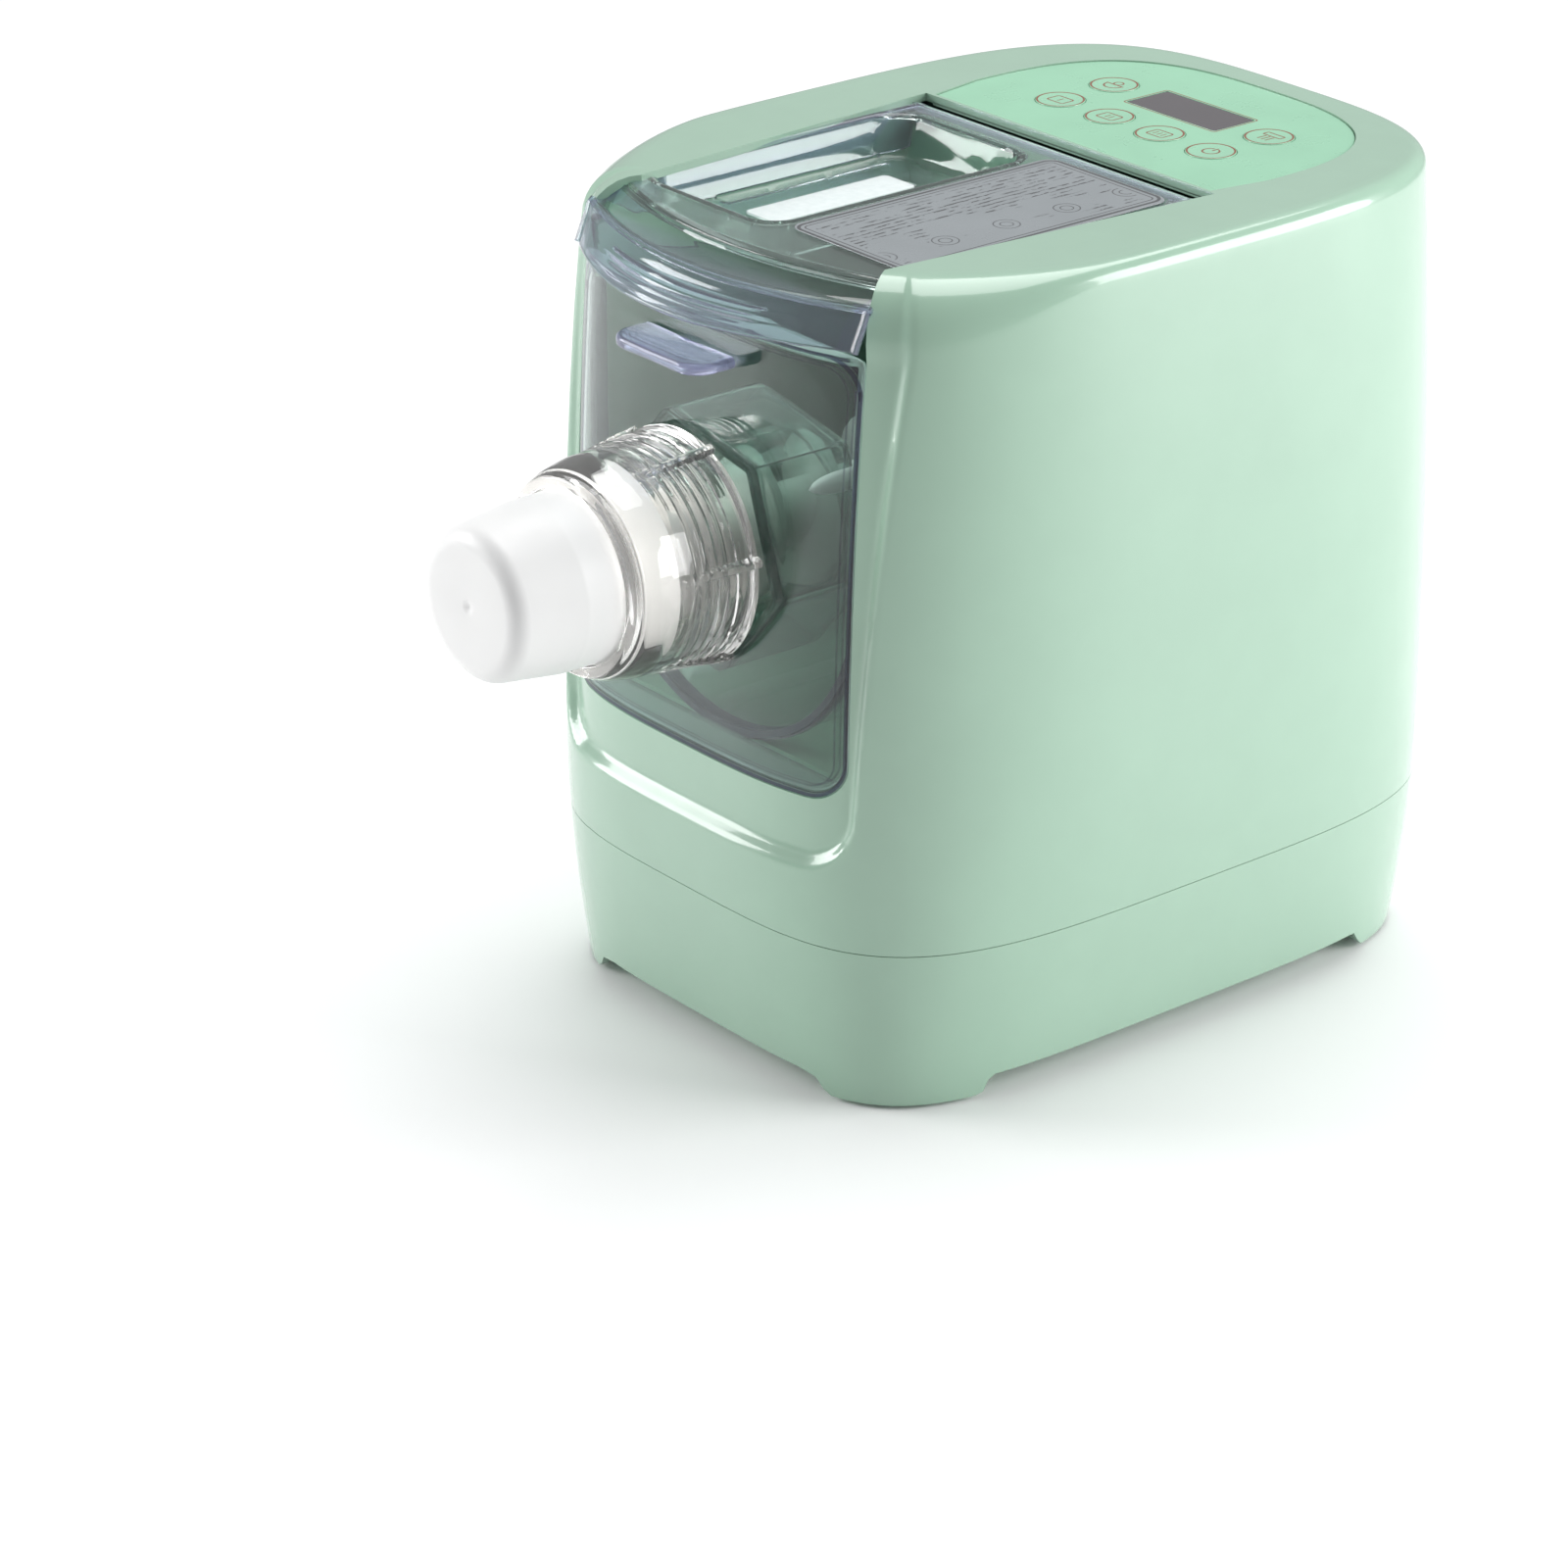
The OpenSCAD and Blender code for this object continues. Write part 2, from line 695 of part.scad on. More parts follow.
module bay_liner() {
    color(grey)
        in_frame()
            difference() {
                union() {
                    both_sides() {
                        box([liner_in_x, liner_front_y, liner_floor_z],
                            [liner_out_x, bay_back_y, roof_low_z - 1.6]);
                        box([liner_out_x - ledge_w, ledge_ys[0], ledge_z - 4],
                            [liner_out_x, ledge_ys[1], ledge_z]);
                        for (y = leg_ys)
                            rod_z(leg_r, floor_z + 0.05, liner_floor_z + 1, leg_x, y);
                    }
                    box([-liner_out_x, liner_front_y, liner_floor_z],
                        [liner_out_x, box_front_y, liner_floor_top_z]);
                    box([-liner_out_x, liner_back_y, liner_floor_z],
                        [liner_out_x, box_front_y, roll_z - roll_r - 1.2]);
                }
                rod_y(seal_r, liner_back_y - 1, box_front_y + 1);
                rod_x(pin_r + seat_gap, -far, far, roll_y, roll_z);
                for (p = bolt_spots)
                    rod_y(bolt_r + seat_gap, liner_back_y + 1.2, far, p.x, p.y);
                rod_x(switch_button_r + gap, 0, far, switch_y, switch_z);
            }
}
// A trough with a round floor about the axis and upright walls
module cup_outline(r) {
    translate([0, axis_z])
        circle(r);
    translate([-r, axis_z])
        square([2 * r, cup_top_z - axis_z]);
}
seal_r = 12;
seal_len = 6;
seal_front_y = cup_back_y + cup_t - seal_len;
module mixing_cup() {
    color(smoke)
        in_frame()
            difference() {
                union() {
                    difference() {
                        slab_y(cup_front_y, cup_back_y + cup_t)
                            cup_outline(cup_out_r);
                        slab_y(cup_front_y - 1, cup_back_y)
                            cup_outline(cup_r);
                        box([-cup_r, cup_front_y - 1, axis_z + cup_r / 2], [cup_r, cup_back_y, far]);
                    }
                    rod_y(seal_r + 2, seal_front_y, cup_back_y + cup_t);
                }
                rod_y(seal_r, seal_front_y - 1, cup_back_y + cup_t + 1);
            }
}
module shaft_seal() {
    color(dark)
        in_frame()
            difference() {
                rod_y(seal_r, seal_front_y, cup_back_y + cup_t);
                rod_y(shaft_r + run_gap, seal_front_y - 1, far);
            }
}

// ---- front cover ----
cover_rib_t = 2.2;
gasket_t = 1.2;
gasket_y = cup_front_y - gasket_t - 0.1;
tab_corner_r = 12;
neck_t = 2;
module cover_outline() {
    intersection() {
        bay_outline(cover_gap);
        translate([-far / 2, 0])
            square([far, cover_top_z]);
    }
}
module neck_outline(r) {
    translate([0, axis_z])
        rotate(neck_turn)
            circle(r, $fn = 6);
}
module front_cover() {
    color(smoke)
        in_frame()
            difference() {
                union() {
                    intersection() {
                        slab_y(-far, panel_back_y)
                            cover_outline();
                        difference() {
                            body_solid(panel_recess);
                            body_solid(panel_recess + cover_t);
                        }
                    }
                    intersection() {
                        slab_y(-far, gasket_y)
                            difference() {
                                cup_outline(cup_out_r);
                                cup_outline(cup_out_r - cover_rib_t);
                                translate([-cup_r, axis_z + cup_r / 2])
                                    square([2 * cup_r, far]);
                            }
                        body_solid(panel_recess + cover_t / 2);
                    }
                    intersection() {
                        slab_y(-far, neck_back_y)
                            neck_outline(neck_r);
                        body_solid(panel_recess + cover_t / 2);
                    }
                    finger_tab();
                }
                intersection() {
                    slab_y(-far, neck_back_y - neck_t)
                        neck_outline(neck_r - neck_t);
                    body_solid(panel_recess + cover_t);
                }
                rod_y(barrel_body_r + seat_gap, -far, 0);
            }
}
// Rounded plate that a finger hooks under to pull the cover off
module finger_tab() {
    r = tab_corner_r;
    front_y = cover_face_y - tab_reach;
    root_y = -half_d(tab_z) + panel_recess + cover_t / 2;
    translate([0, 0, tab_z - tab_t / 2])
        linear_extrude(tab_t) {
            translate([-tab_w / 2, front_y + r])
                square([tab_w, root_y - front_y - r]);
            translate([-tab_w / 2 + r, front_y])
                square([tab_w - 2 * r, r + 1]);
            for (s = [-1, 1])
                translate([s * (tab_w / 2 - r), front_y + r])
                    circle(r);
        }
}
module cover_gasket() {
    color(dark)
        in_frame()
            slab_y(gasket_y + 0.05, cup_front_y - 0.05)
                difference() {
                    cup_outline(cup_out_r);
                    cup_outline(cup_r);
                    translate([-cup_r, axis_z + cup_r / 2])
                        square([2 * cup_r, far]);
                }
}

// ---- nozzle ----
barrel_body_r = barrel_bore_r + 3.4;
collar_bore_r = barrel_r + gap;
grip_count = 6;
grip_w = 5;
grip_h = 1.6;
grip_turn = 8;
rib_count = 5;
rib_w = 1.2;
rib_h = 0.9;
hole_pitch = 5.2;
module extruder_barrel() {
    color(clear)
        in_frame()
            difference() {
                union() {
                    rod_y(barrel_body_r, barrel_front_y, neck_back_y);
                    rod_y(barrel_r, barrel_front_y, panel_recess - half_d(axis_z - barrel_r) - 0.1);
                }
                rod_y(barrel_bore_r, barrel_front_y - 1, 0);
            }
}
module lock_collar() {
    rib_pitch = collar_ribbed_len / (rib_count + 1);
    rise = collar_rim_r - collar_step_r;
    color(clear)
        in_frame()
            difference() {
                union() {
                    translate([0, 0, axis_z])
                        rotate([90, 0, 0])
                            rotate_extrude()
                                polygon([[0, -collar_front_y],
                                         [collar_front_r - 4, -collar_front_y],
                                         [collar_front_r, -collar_front_y - 5],
                                         [collar_front_r + 0.4, -collar_step_y + 1],
                                         [collar_step_r, -collar_step_y],
                                         [collar_rim_r, -collar_back_y],
                                         [0, -collar_back_y]]);
                    for (i = [1:rib_count])
                        let (y = collar_step_y + rib_pitch * i)
                        rod_y(collar_step_r + rib_h + rise * i / (rib_count + 1),
                              y - rib_w / 2, y + rib_w / 2);
                    for (i = [0:grip_count - 1])
                        translate([0, 0, axis_z])
                            rotate([0, 360 * i / grip_count + grip_turn, 0])
                                box([-grip_w / 2, collar_step_y, collar_bore_r + 1],
                                    [grip_w / 2, collar_back_y, collar_rim_r + grip_h]);
                }
                rod_y(collar_bore_r, collar_front_y + collar_lip_t, 0);
                rod_y(cap_r + gap, collar_front_y - 1, 0);
            }
}
module nozzle_cap() {
    deep_y = cap_front_y + cap_t;
    inner_r = cap_r - cap_t;
    flange_r = barrel_r - 0.5;
    color(white)
        in_frame()
            difference() {
                union() {
                    translate([0, 0, axis_z])
                        rotate([90, 0, 0])
                            rotate_extrude() {
                                translate([0, -cap_flange_y - 1])
                                    square([cap_r, cap_flange_y - cap_front_y - cap_edge_r + 1]);
                                translate([0, -cap_front_y - cap_edge_r - bite])
                                    square([cap_r - cap_edge_r, cap_edge_r + bite]);
                                translate([cap_r - cap_edge_r, -cap_front_y - cap_edge_r])
                                    circle(cap_edge_r);
                            }
                    rod_y(flange_r, cap_flange_y, cap_flange_y + cap_flange_t);
                }
                rod_y(inner_r, deep_y + cap_edge_r / 2, 0);
                rod_y(inner_r - cap_edge_r / 2, deep_y, 0);
                for (i = [0:noodle_rows - 1], j = [0:noodle_cols - 1])
                    rod_z(noodle_r, axis_z - cap_r - 1, axis_z - inner_r / 2,
                          (j - (noodle_cols - 1) / 2) * hole_pitch,
                          deep_y + cap_edge_r + i * hole_pitch);
            }
}

// ---- auger and paddle ----
auger_front_y = barrel_front_y - 2;
auger_back_y = -12;
flight_t = 5.2;
hex_front_y = -46;
hex_gap = 0.15;
hub_r = 16;
bar_r = cup_r - bar_gap - bar_half_t;       // distance of the bars from the axis
arm_back_y = seal_front_y - 1;
arm_front_y = arm_back_y - 12;
bar_front_y = cup_front_y - 2;
short_bar = 38;                // how much shorter the second bar is
module drive_socket() {
    slab_y(hex_front_y, far)
        translate([0, axis_z])
            circle(hex_r + hex_gap, $fn = 6);
}
module auger() {
    flight_len = auger_back_y - auger_front_y - 4;
    color(white)
        in_frame()
            difference() {
                union() {
                    rod_y(auger_core_r, auger_front_y, auger_back_y);
                    translate([0, auger_back_y - 2, axis_z])
                        rotate([90, 0, 0])
                            linear_extrude(flight_len, twist = 360 * flight_len / auger_pitch,
                                           slices = round(flight_len / auger_pitch * 20), $fn = 4)
                                translate([0, -flight_t / 2])
                                    square([auger_r - flight_t / 8, flight_t]);
                }
                drive_socket();
            }
}
module mixing_bar(front_y) {
    rod_y(bar_half_t, front_y + bar_half_t, arm_back_y - 3, bar_r, 0);
    translate([bar_r, front_y + bar_half_t, 0])
        sphere(bar_half_t);
}
module mixing_paddle() {
    color(white)
        in_frame()
            difference() {
                union() {
                    rod_y(hub_r, auger_back_y + bite, arm_back_y);
                    for (k = [0, 1])
                        translate([0, 0, axis_z])
                            rotate([0, -bar_angle - 180 * k, 0]) {
                                box([hub_r - 4, arm_front_y, -bar_half_t],
                                    [bar_r + bar_half_t, arm_back_y, bar_half_t]);
                                mixing_bar(bar_front_y + short_bar * k);
                            }
                }
                drive_socket();
            }
}

// ---- gears ----
function inv(a) = tan(a) * 180 / PI - a;
// Half the angle that a tooth fills at radius r
function tooth_half(m, teeth, r) =
    let (pitch_r = m * teeth / 2, base_r = pitch_r * cos(pressure_angle), q = max(r, base_r))
    90 / teeth - backlash / 2 / pitch_r * 180 / PI + inv(pressure_angle) - inv(acos(base_r / q));
// Spur gear with involute flanks; the middle of its first tooth lies at angle turn
module gear_outline(m, teeth, turn) {
    pitch_r = m * teeth / 2;
    radii = [pitch_r - 1.2 * m, pitch_r - 0.3 * m, pitch_r + 0.3 * m, pitch_r + 0.9 * m];
    last = len(radii) - 1;
    polygon([for (i = [0:teeth - 1], j = [0:2 * last + 1])
        let (r = radii[j <= last ? j : 2 * last + 1 - j],
             a = turn + 360 * i / teeth + (j <= last ? -1 : 1) * tooth_half(m, teeth, r))
        [r * cos(a), r * sin(a)]]);
}
plate_back_y = box_front_y + 4;
slow_front_y = box_front_y + 12;
slow_len = 12;
fast_front_y = slow_front_y + slow_len + 1;
fast_len = 7;
case_in_y = fast_front_y + fast_len + 5;
case_back_y = case_in_y + 3;
bearing_r = 15;
bearing_front_y = box_front_y + 1.2;
bearing_len = 8;
journal_r = shaft_r - 2;
rear_bearing_r = 12;
rear_bearing_y = case_in_y - 8;
rear_bearing_len = 7;
axle_r = 4;
module output_gear() {
    color(white)
        in_frame()
            difference() {
                union() {
                    slab_y(slow_front_y, slow_front_y + slow_len)
                        translate([0, axis_z])
                            gear_outline(slow_module, output_teeth, -90);
                    rod_y(hub_r - 2, slow_front_y - 1, slow_front_y + slow_len + 2);
                }
                rod_y(shaft_r + seat_gap, 0, far);
                for (i = [0:5])
                    translate([0, 0, axis_z])
                        rotate([0, 60 * i, 0])
                            rod_y(7, 0, far, 29, 0);
            }
}
module drive_shaft() {
    color(steel)
        in_frame() {
            slab_y(hex_front_y + 2, arm_back_y + gap)
                translate([0, axis_z])
                    circle(hex_r, $fn = 6);
            rod_y(shaft_r, arm_back_y + gap, rear_bearing_y - 0.2);
            rod_y(journal_r, arm_back_y + 1, rear_bearing_y + rear_bearing_len + 0.4);
        }
}
module bearing(inner_r, outer_r, y0, len) {
    difference() {
        rod_y(outer_r, y0, y0 + len);
        rod_y(inner_r, y0 - 1, y0 + len + 1);
    }
}
module front_bearing() {
    color(steel)
        in_frame()
            bearing(shaft_r + run_gap, bearing_r, bearing_front_y, bearing_len);
}
module rear_bearing() {
    color(steel)
        in_frame()
            bearing(journal_r + run_gap, rear_bearing_r, rear_bearing_y, rear_bearing_len);
}
module idler_gears() {
    color(white)
        in_frame()
            difference() {
                union() {
                    slab_y(slow_front_y - 1, fast_front_y + 0.5)
                        translate([0, idler_z])
                            gear_outline(slow_module, slow_pinion_teeth,
                                         90 + 180 / slow_pinion_teeth);
                    slab_y(fast_front_y, fast_front_y + fast_len)
                        translate([0, idler_z])
                            gear_outline(fast_module, idler_teeth, -90);
                    rod_y(2 * axle_r, fast_front_y, case_in_y - 3.5, 0, idler_z);
                }
                rod_y(axle_r + run_gap, 0, far, 0, idler_z);
            }
}
module idler_axle() {
    color(steel)
        in_frame()
            rod_y(axle_r, box_front_y + 1, case_back_y - 1, 0, idler_z);
}
ear_r = 6.5;
case_wall = 2.6;
module gear_room(grow) {
    translate([0, axis_z])
        circle(output_room_r + grow);
    translate([0, idler_z])
        circle(idler_room_r + grow);
    translate([0, motor_z])
        circle(motor_room_r + grow);
    translate([-motor_room_r - grow, motor_z])
        square([2 * (motor_room_r + grow), fast_centre]);
}
module box_outline() {
    gear_room(case_wall);
    for (p = bolt_spots)
        translate(p)
            circle(ear_r);
}
module gearbox_cover() {
    color(grey)
        in_frame()
            difference() {
                union() {
                    slab_y(box_front_y, plate_back_y)
                        box_outline();
                    rod_y(bearing_r + 3.5, plate_back_y - bite, bearing_front_y + bearing_len + 0.5);
                    rod_y(2 * axle_r, plate_back_y - bite, slow_front_y - 1.4, 0, idler_z);
                }
                rod_y(bearing_r + seat_gap, bearing_front_y, far);
                rod_y(shaft_r + 1, 0, far);
                rod_y(axle_r + seat_gap, 0, far, 0, idler_z);
                for (p = bolt_spots)
                    rod_y(bolt_r + seat_gap, 0, far, p.x, p.y);
            }
}
module gearbox_case() {
    color(grey)
        in_frame()
            difference() {
                union() {
                    difference() {
                        slab_y(plate_back_y, case_back_y)
                            box_outline();
                        slab_y(plate_back_y - 1, case_in_y)
                            gear_room(0);
                    }
                    rod_y(rear_bearing_r + 3, rear_bearing_y - 0.5, case_in_y + bite);
                    rod_y(2 * axle_r, case_in_y - 3, case_in_y + bite, 0, idler_z);
                }
                rod_y(rear_bearing_r + seat_gap, 0, rear_bearing_y + rear_bearing_len);
                rod_y(journal_r + 1, 0, case_in_y + 1);
                rod_y(axle_r + seat_gap, 0, far, 0, idler_z);
                rod_y(motor_shaft_r + 2, 0, far, 0, motor_z);
                for (p = bolt_spots)
                    rod_y(bolt_r + seat_gap, 0, far, p.x, p.y);
            }
}
module gearbox_bolts() {
    color(steel)
        in_frame()
            for (p = bolt_spots) {
                rod_y(bolt_r, liner_back_y + 1.4, case_back_y + 1, p.x, p.y);
                rod_y(2 * bolt_r, case_back_y, case_back_y + 3, p.x, p.y);
            }
}

// ---- motor ----
motor_shaft_r = 4;
motor_wall = 2.2;
motor_back_y = case_back_y + motor_len;
fan_front_y = motor_back_y + 2.5;
fan_len = 9;
fan_blades = 7;
module motor_pinion() {
    color(steel)
        in_frame()
            difference() {
                slab_y(fast_front_y - 0.5, fast_front_y + fast_len + 1)
                    translate([0, motor_z])
                        gear_outline(fast_module, motor_pinion_teeth,
                                     90 + 180 / motor_pinion_teeth);
                rod_y(motor_shaft_r + seat_gap, 0, far, 0, motor_z);
            }
}
module motor_rotor() {
    color(steel)
        in_frame() {
            rod_y(motor_shaft_r, fast_front_y - 0.5, fan_front_y + fan_len, 0, motor_z);
            rod_y(motor_r * 0.6, case_back_y + 9, motor_back_y - 12, 0, motor_z);
        }
}
module motor_windings() {
    color(copper)
        in_frame()
            difference() {
                rod_y(motor_r - motor_wall - 0.2, case_back_y + 6, motor_back_y - 9, 0, motor_z);
                rod_y(motor_r * 0.6 + 1, 0, far, 0, motor_z);
            }
}
module motor_can() {
    color(steel)
        in_frame()
            difference() {
                rod_y(motor_r, case_back_y, motor_back_y, 0, motor_z);
                rod_y(motor_r - motor_wall, case_back_y + 2.5, motor_back_y - 2.5, 0, motor_z);
                rod_y(motor_shaft_r + run_gap, 0, far, 0, motor_z);
            }
}
module cooling_fan() {
    hub = 2 * motor_shaft_r;
    color(white)
        in_frame()
            difference() {
                union() {
                    rod_y(hub, fan_front_y, fan_front_y + fan_len, 0, motor_z);
                    for (i = [0:fan_blades - 1])
                        translate([0, fan_front_y + fan_len / 2, motor_z])
                            rotate([0, 360 * i / fan_blades, 0])
                                rotate([35, 0, 0])
                                    box([hub - 1, -0.9, -fan_len / 2], [fan_r, 0.9, fan_len / 2]);
                }
                rod_y(motor_shaft_r + seat_gap, 0, far, 0, motor_z);
            }
}
module motor_cradle() {
    color(dark)
        in_frame()
            difference() {
                box([-motor_r * 0.8, case_back_y + 8, floor_z + 0.05],
                    [motor_r * 0.8, motor_back_y - 8, motor_z - motor_r / 2]);
                rod_y(motor_r + 0.1, 0, far, 0, motor_z);
            }
}

// ---- lid ----
lid_half_w = bay_half_w - 0.6;
lid_steps = 12;
lid_step = 0.02;               // the lip's upper face lies this much below the flat top
lid_joint = 1.5;               // how far the flat top starts behind the ridge, inside the lip
lip_inset = 0.8;               // the lip is this much narrower than the top, on each side
ridge_y = cover_face_y + ridge_inset;
root_y = cover_face_y + root_inset;
lip_y = cover_face_y - lip_reach;
basin_front_y = ridge_y + basin_inset;
pin_in_x = 58;
skirt_front_y = ridge_y + ridge_sag + 5;
// A line across the lid, bowed forwards in the middle
function bowed(front, sag, x) = front + sag * pow(x / lid_half_w, 2);
function across(half) = [for (i = [0:lid_steps]) half * (2 * i / lid_steps - 1)];
// Outline of the slope and lip at one distance across, as seen from the side
function lip_section(x) =
    let (ridge = bowed(ridge_y, ridge_sag, x),
         root = bowed(root_y, root_sag, x),
         tip = bowed(lip_y, lip_sag, x),
         root_z = lid_top_z - root_drop,
         high_z = lid_top_z - lid_step,
         low_z = lid_top_z - lid_t + 0.2)
    [[x, ridge + 2 * lid_joint, high_z], [x, ridge, high_z], [x, root, root_z], [x, tip, lip_z],
     [x, tip + lid_t, lip_z], [x, root + lid_t, root_z - lid_t * 0.7],
     [x, ridge + lid_joint / 2, low_z], [x, ridge + 2 * lid_joint, low_z + 0.1]];
// Closed skin over sections, each of which has as many upper points as lower ones
module skin(sections) {
    n = len(sections[0]);
    k = len(sections) - 1;
    polyhedron(
        [for (s = sections, p = s) p],
        concat([for (j = [0:n / 2 - 2]) [j, j + 1, n - 2 - j, n - 1 - j]],
               [for (i = [0:k - 1], j = [0:n - 1])
                   [i * n + (j + 1) % n, i * n + j, (i + 1) * n + j, (i + 1) * n + (j + 1) % n]],
               [for (j = [0:n / 2 - 2])
                   [k * n + n - 1 - j, k * n + n - 2 - j, k * n + j + 1, k * n + j]]));
}
module lid() {
    low_z = lid_top_z - basin_depth;
    color(smoke)
        in_frame()
            difference() {
                union() {
                    translate([0, 0, lid_top_z - lid_t])
                        linear_extrude(lid_t)
                            polygon(concat([[lid_half_w, roll_y], [-lid_half_w, roll_y]],
                                           [for (x = across(lid_half_w))
                                               [x, bowed(ridge_y, ridge_sag, x) + lid_joint]]));
                    skin([for (x = across(lid_half_w - lip_inset)) lip_section(x)]);
                    both_sides()
                        box([lid_half_w - lid_t, skirt_front_y, ledge_z + gap],
                            [lid_half_w, roll_y - 1, lid_top_z - lid_t / 2]);
                    rod_x(roll_r, -lid_half_w, lid_half_w, roll_y, roll_z);
                    box([basin_left_x - lid_t, basin_front_y - lid_t, low_z - lid_t],
                        [basin_right_x + lid_t, basin_back_y + lid_t, lid_top_z - lid_t / 2]);
                }
                box([basin_left_x, basin_front_y, low_z], [basin_right_x, basin_back_y, far]);
                for (y = [-74, -52, -27, -4])
                    rod_z(drain_r, 0, far, basin_left_x + 7, y);
                both_sides()
                    rod_x(pin_r + run_gap, pin_in_x - 0.5, far, roll_y, roll_z);
            }
}
module lid_plate() {
    color([0.75, 0.75, 0.77, 0.5])
        in_frame()
            box([basin_right_x + 5, basin_front_y + 3, lid_top_z],
                [lid_half_w - 6, basin_back_y + 3, lid_top_z + plate_t]);
}
module hinge_pins() {
    color(steel)
        in_frame()
            both_sides()
                rod_x(pin_r, pin_in_x, liner_out_x, roll_y, roll_z);
}
module lid_switch() {
    color(dark)
        in_frame() {
            box([liner_out_x + 0.05, switch_y - 10, switch_z - 7],
                [liner_out_x + 9, switch_y + 10, switch_z + 4]);
            rod_x(switch_button_r, lid_half_w + 0.4, liner_out_x + 1, switch_y, switch_z);
        }
}

// ---- control panel ----
key_proud = 0.3;
key_slot = 0.25;               // gap round a key in the film
key_t = film_t + key_proud - key_travel - roof_groove;
key_top_z = film_top_z + key_proud;
switch_h = 3;
stem_low_z = board_top_z + switch_h + key_travel + 0.15;
module control_film() {
    color(light_mint)
        in_frame()
            difference() {
                translate([0, 0, film_low_z])
                    linear_extrude(film_t)
                        difference() {
                            film_outline();
                            display_outline(0.15);
                        }
                for (p = key_spots)
                    rod_z(key_r + key_slot, 0, far, p.x, p.y);
            }
}
module display_window() {
    color(dark)
        in_frame()
            translate([0, 0, film_low_z])
                linear_extrude(film_t)
                    display_outline();
}
module key(i) {
    color(light_mint)
        in_frame() {
            rod_z(key_r, key_top_z - key_t, key_top_z, key_spots[i].x, key_spots[i].y);
            rod_z(key_stem_r, stem_low_z, key_top_z - key_t / 2, key_spots[i].x, key_spots[i].y);
        }
}
module one_cup_key() { key(0); }
module two_cup_key() { key(1); }
module three_cup_key() { key(2); }
module power_key() { key(3); }
module knead_key() { key(4); }
module extrude_key() { key(5); }
module panel_board() {
    color(board_green)
        in_frame() {
            difference() {
                box([-board_post_x - 6, board_post_ys[0] - 6, board_top_z - board_t],
                    [board_post_x + 6, board_post_ys[1] + 6, board_top_z]);
                for (x = [-board_post_x, board_post_x], y = board_post_ys)
                    rod_z(board_screw_r + seat_gap, 0, far, x, y);
            }
            for (p = key_spots)
                box([p.x - 3, p.y - 3, board_top_z - bite], [p.x + 3, p.y + 3, board_top_z + switch_h]);
            translate([0, 0, board_top_z - bite])
                linear_extrude(film_low_z - gap - board_top_z + bite)
                    display_outline(-2.5);
        }
}
module panel_screws() {
    color(steel)
        in_frame()
            for (x = [-board_post_x, board_post_x], y = board_post_ys) {
                rod_z(board_screw_r, board_top_z - board_t - 1, roof_low_z - 1, x, y);
                rod_z(2 * board_screw_r, board_top_z - board_t - 1.5, board_top_z - board_t, x, y);
            }
}

upper_housing();
base_shell();
rubber_feet();
housing_screws();
bay_liner();
mixing_cup();
shaft_seal();
front_cover();
cover_gasket();
extruder_barrel();
lock_collar();
nozzle_cap();
auger();
mixing_paddle();
lid();
lid_plate();
hinge_pins();
lid_switch();
control_film();
display_window();
panel_board();
panel_screws();
one_cup_key();
two_cup_key();
three_cup_key();
power_key();
knead_key();
extrude_key();
drive_shaft();
output_gear();
front_bearing();
rear_bearing();
idler_gears();
idler_axle();
gearbox_cover();
gearbox_case();
gearbox_bolts();
motor_pinion();
motor_rotor();
motor_windings();
motor_can();
cooling_fan();
motor_cradle();
power_board();
power_inlet();
inlet_screws();
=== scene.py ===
"""Electric pasta maker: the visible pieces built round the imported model, in the same frame."""

import json
import math

import bpy
import numpy as np
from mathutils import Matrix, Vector


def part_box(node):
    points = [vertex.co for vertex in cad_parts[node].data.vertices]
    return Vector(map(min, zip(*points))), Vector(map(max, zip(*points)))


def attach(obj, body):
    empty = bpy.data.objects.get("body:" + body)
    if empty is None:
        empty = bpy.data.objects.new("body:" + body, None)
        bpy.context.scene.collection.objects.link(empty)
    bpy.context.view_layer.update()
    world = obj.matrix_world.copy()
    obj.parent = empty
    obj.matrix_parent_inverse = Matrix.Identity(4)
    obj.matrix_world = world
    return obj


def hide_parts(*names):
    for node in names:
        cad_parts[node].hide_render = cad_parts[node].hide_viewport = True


bl_info = {
    "name": "Pasta maker builder",
    "version": (1, 0, 0),
    "blender": (4, 5, 0),
    "location": "View3D > Sidebar > Pasta maker",
    "description": "Builds the visible pieces of an electric pasta maker on its packed frame",
    "category": "Object",
}

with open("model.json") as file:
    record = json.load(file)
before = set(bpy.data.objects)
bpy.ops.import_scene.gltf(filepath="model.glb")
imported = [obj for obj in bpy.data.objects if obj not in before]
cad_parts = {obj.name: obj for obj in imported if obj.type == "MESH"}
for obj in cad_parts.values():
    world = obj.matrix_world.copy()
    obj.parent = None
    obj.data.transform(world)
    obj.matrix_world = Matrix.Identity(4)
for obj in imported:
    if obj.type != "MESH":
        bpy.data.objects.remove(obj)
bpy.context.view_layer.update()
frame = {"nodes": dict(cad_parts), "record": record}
HOUSING_LO, HOUSING_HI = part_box("upper_housing")
SLOTS = {part["node"]: part["material_slot"] for part in frame["record"]["subparts"]}
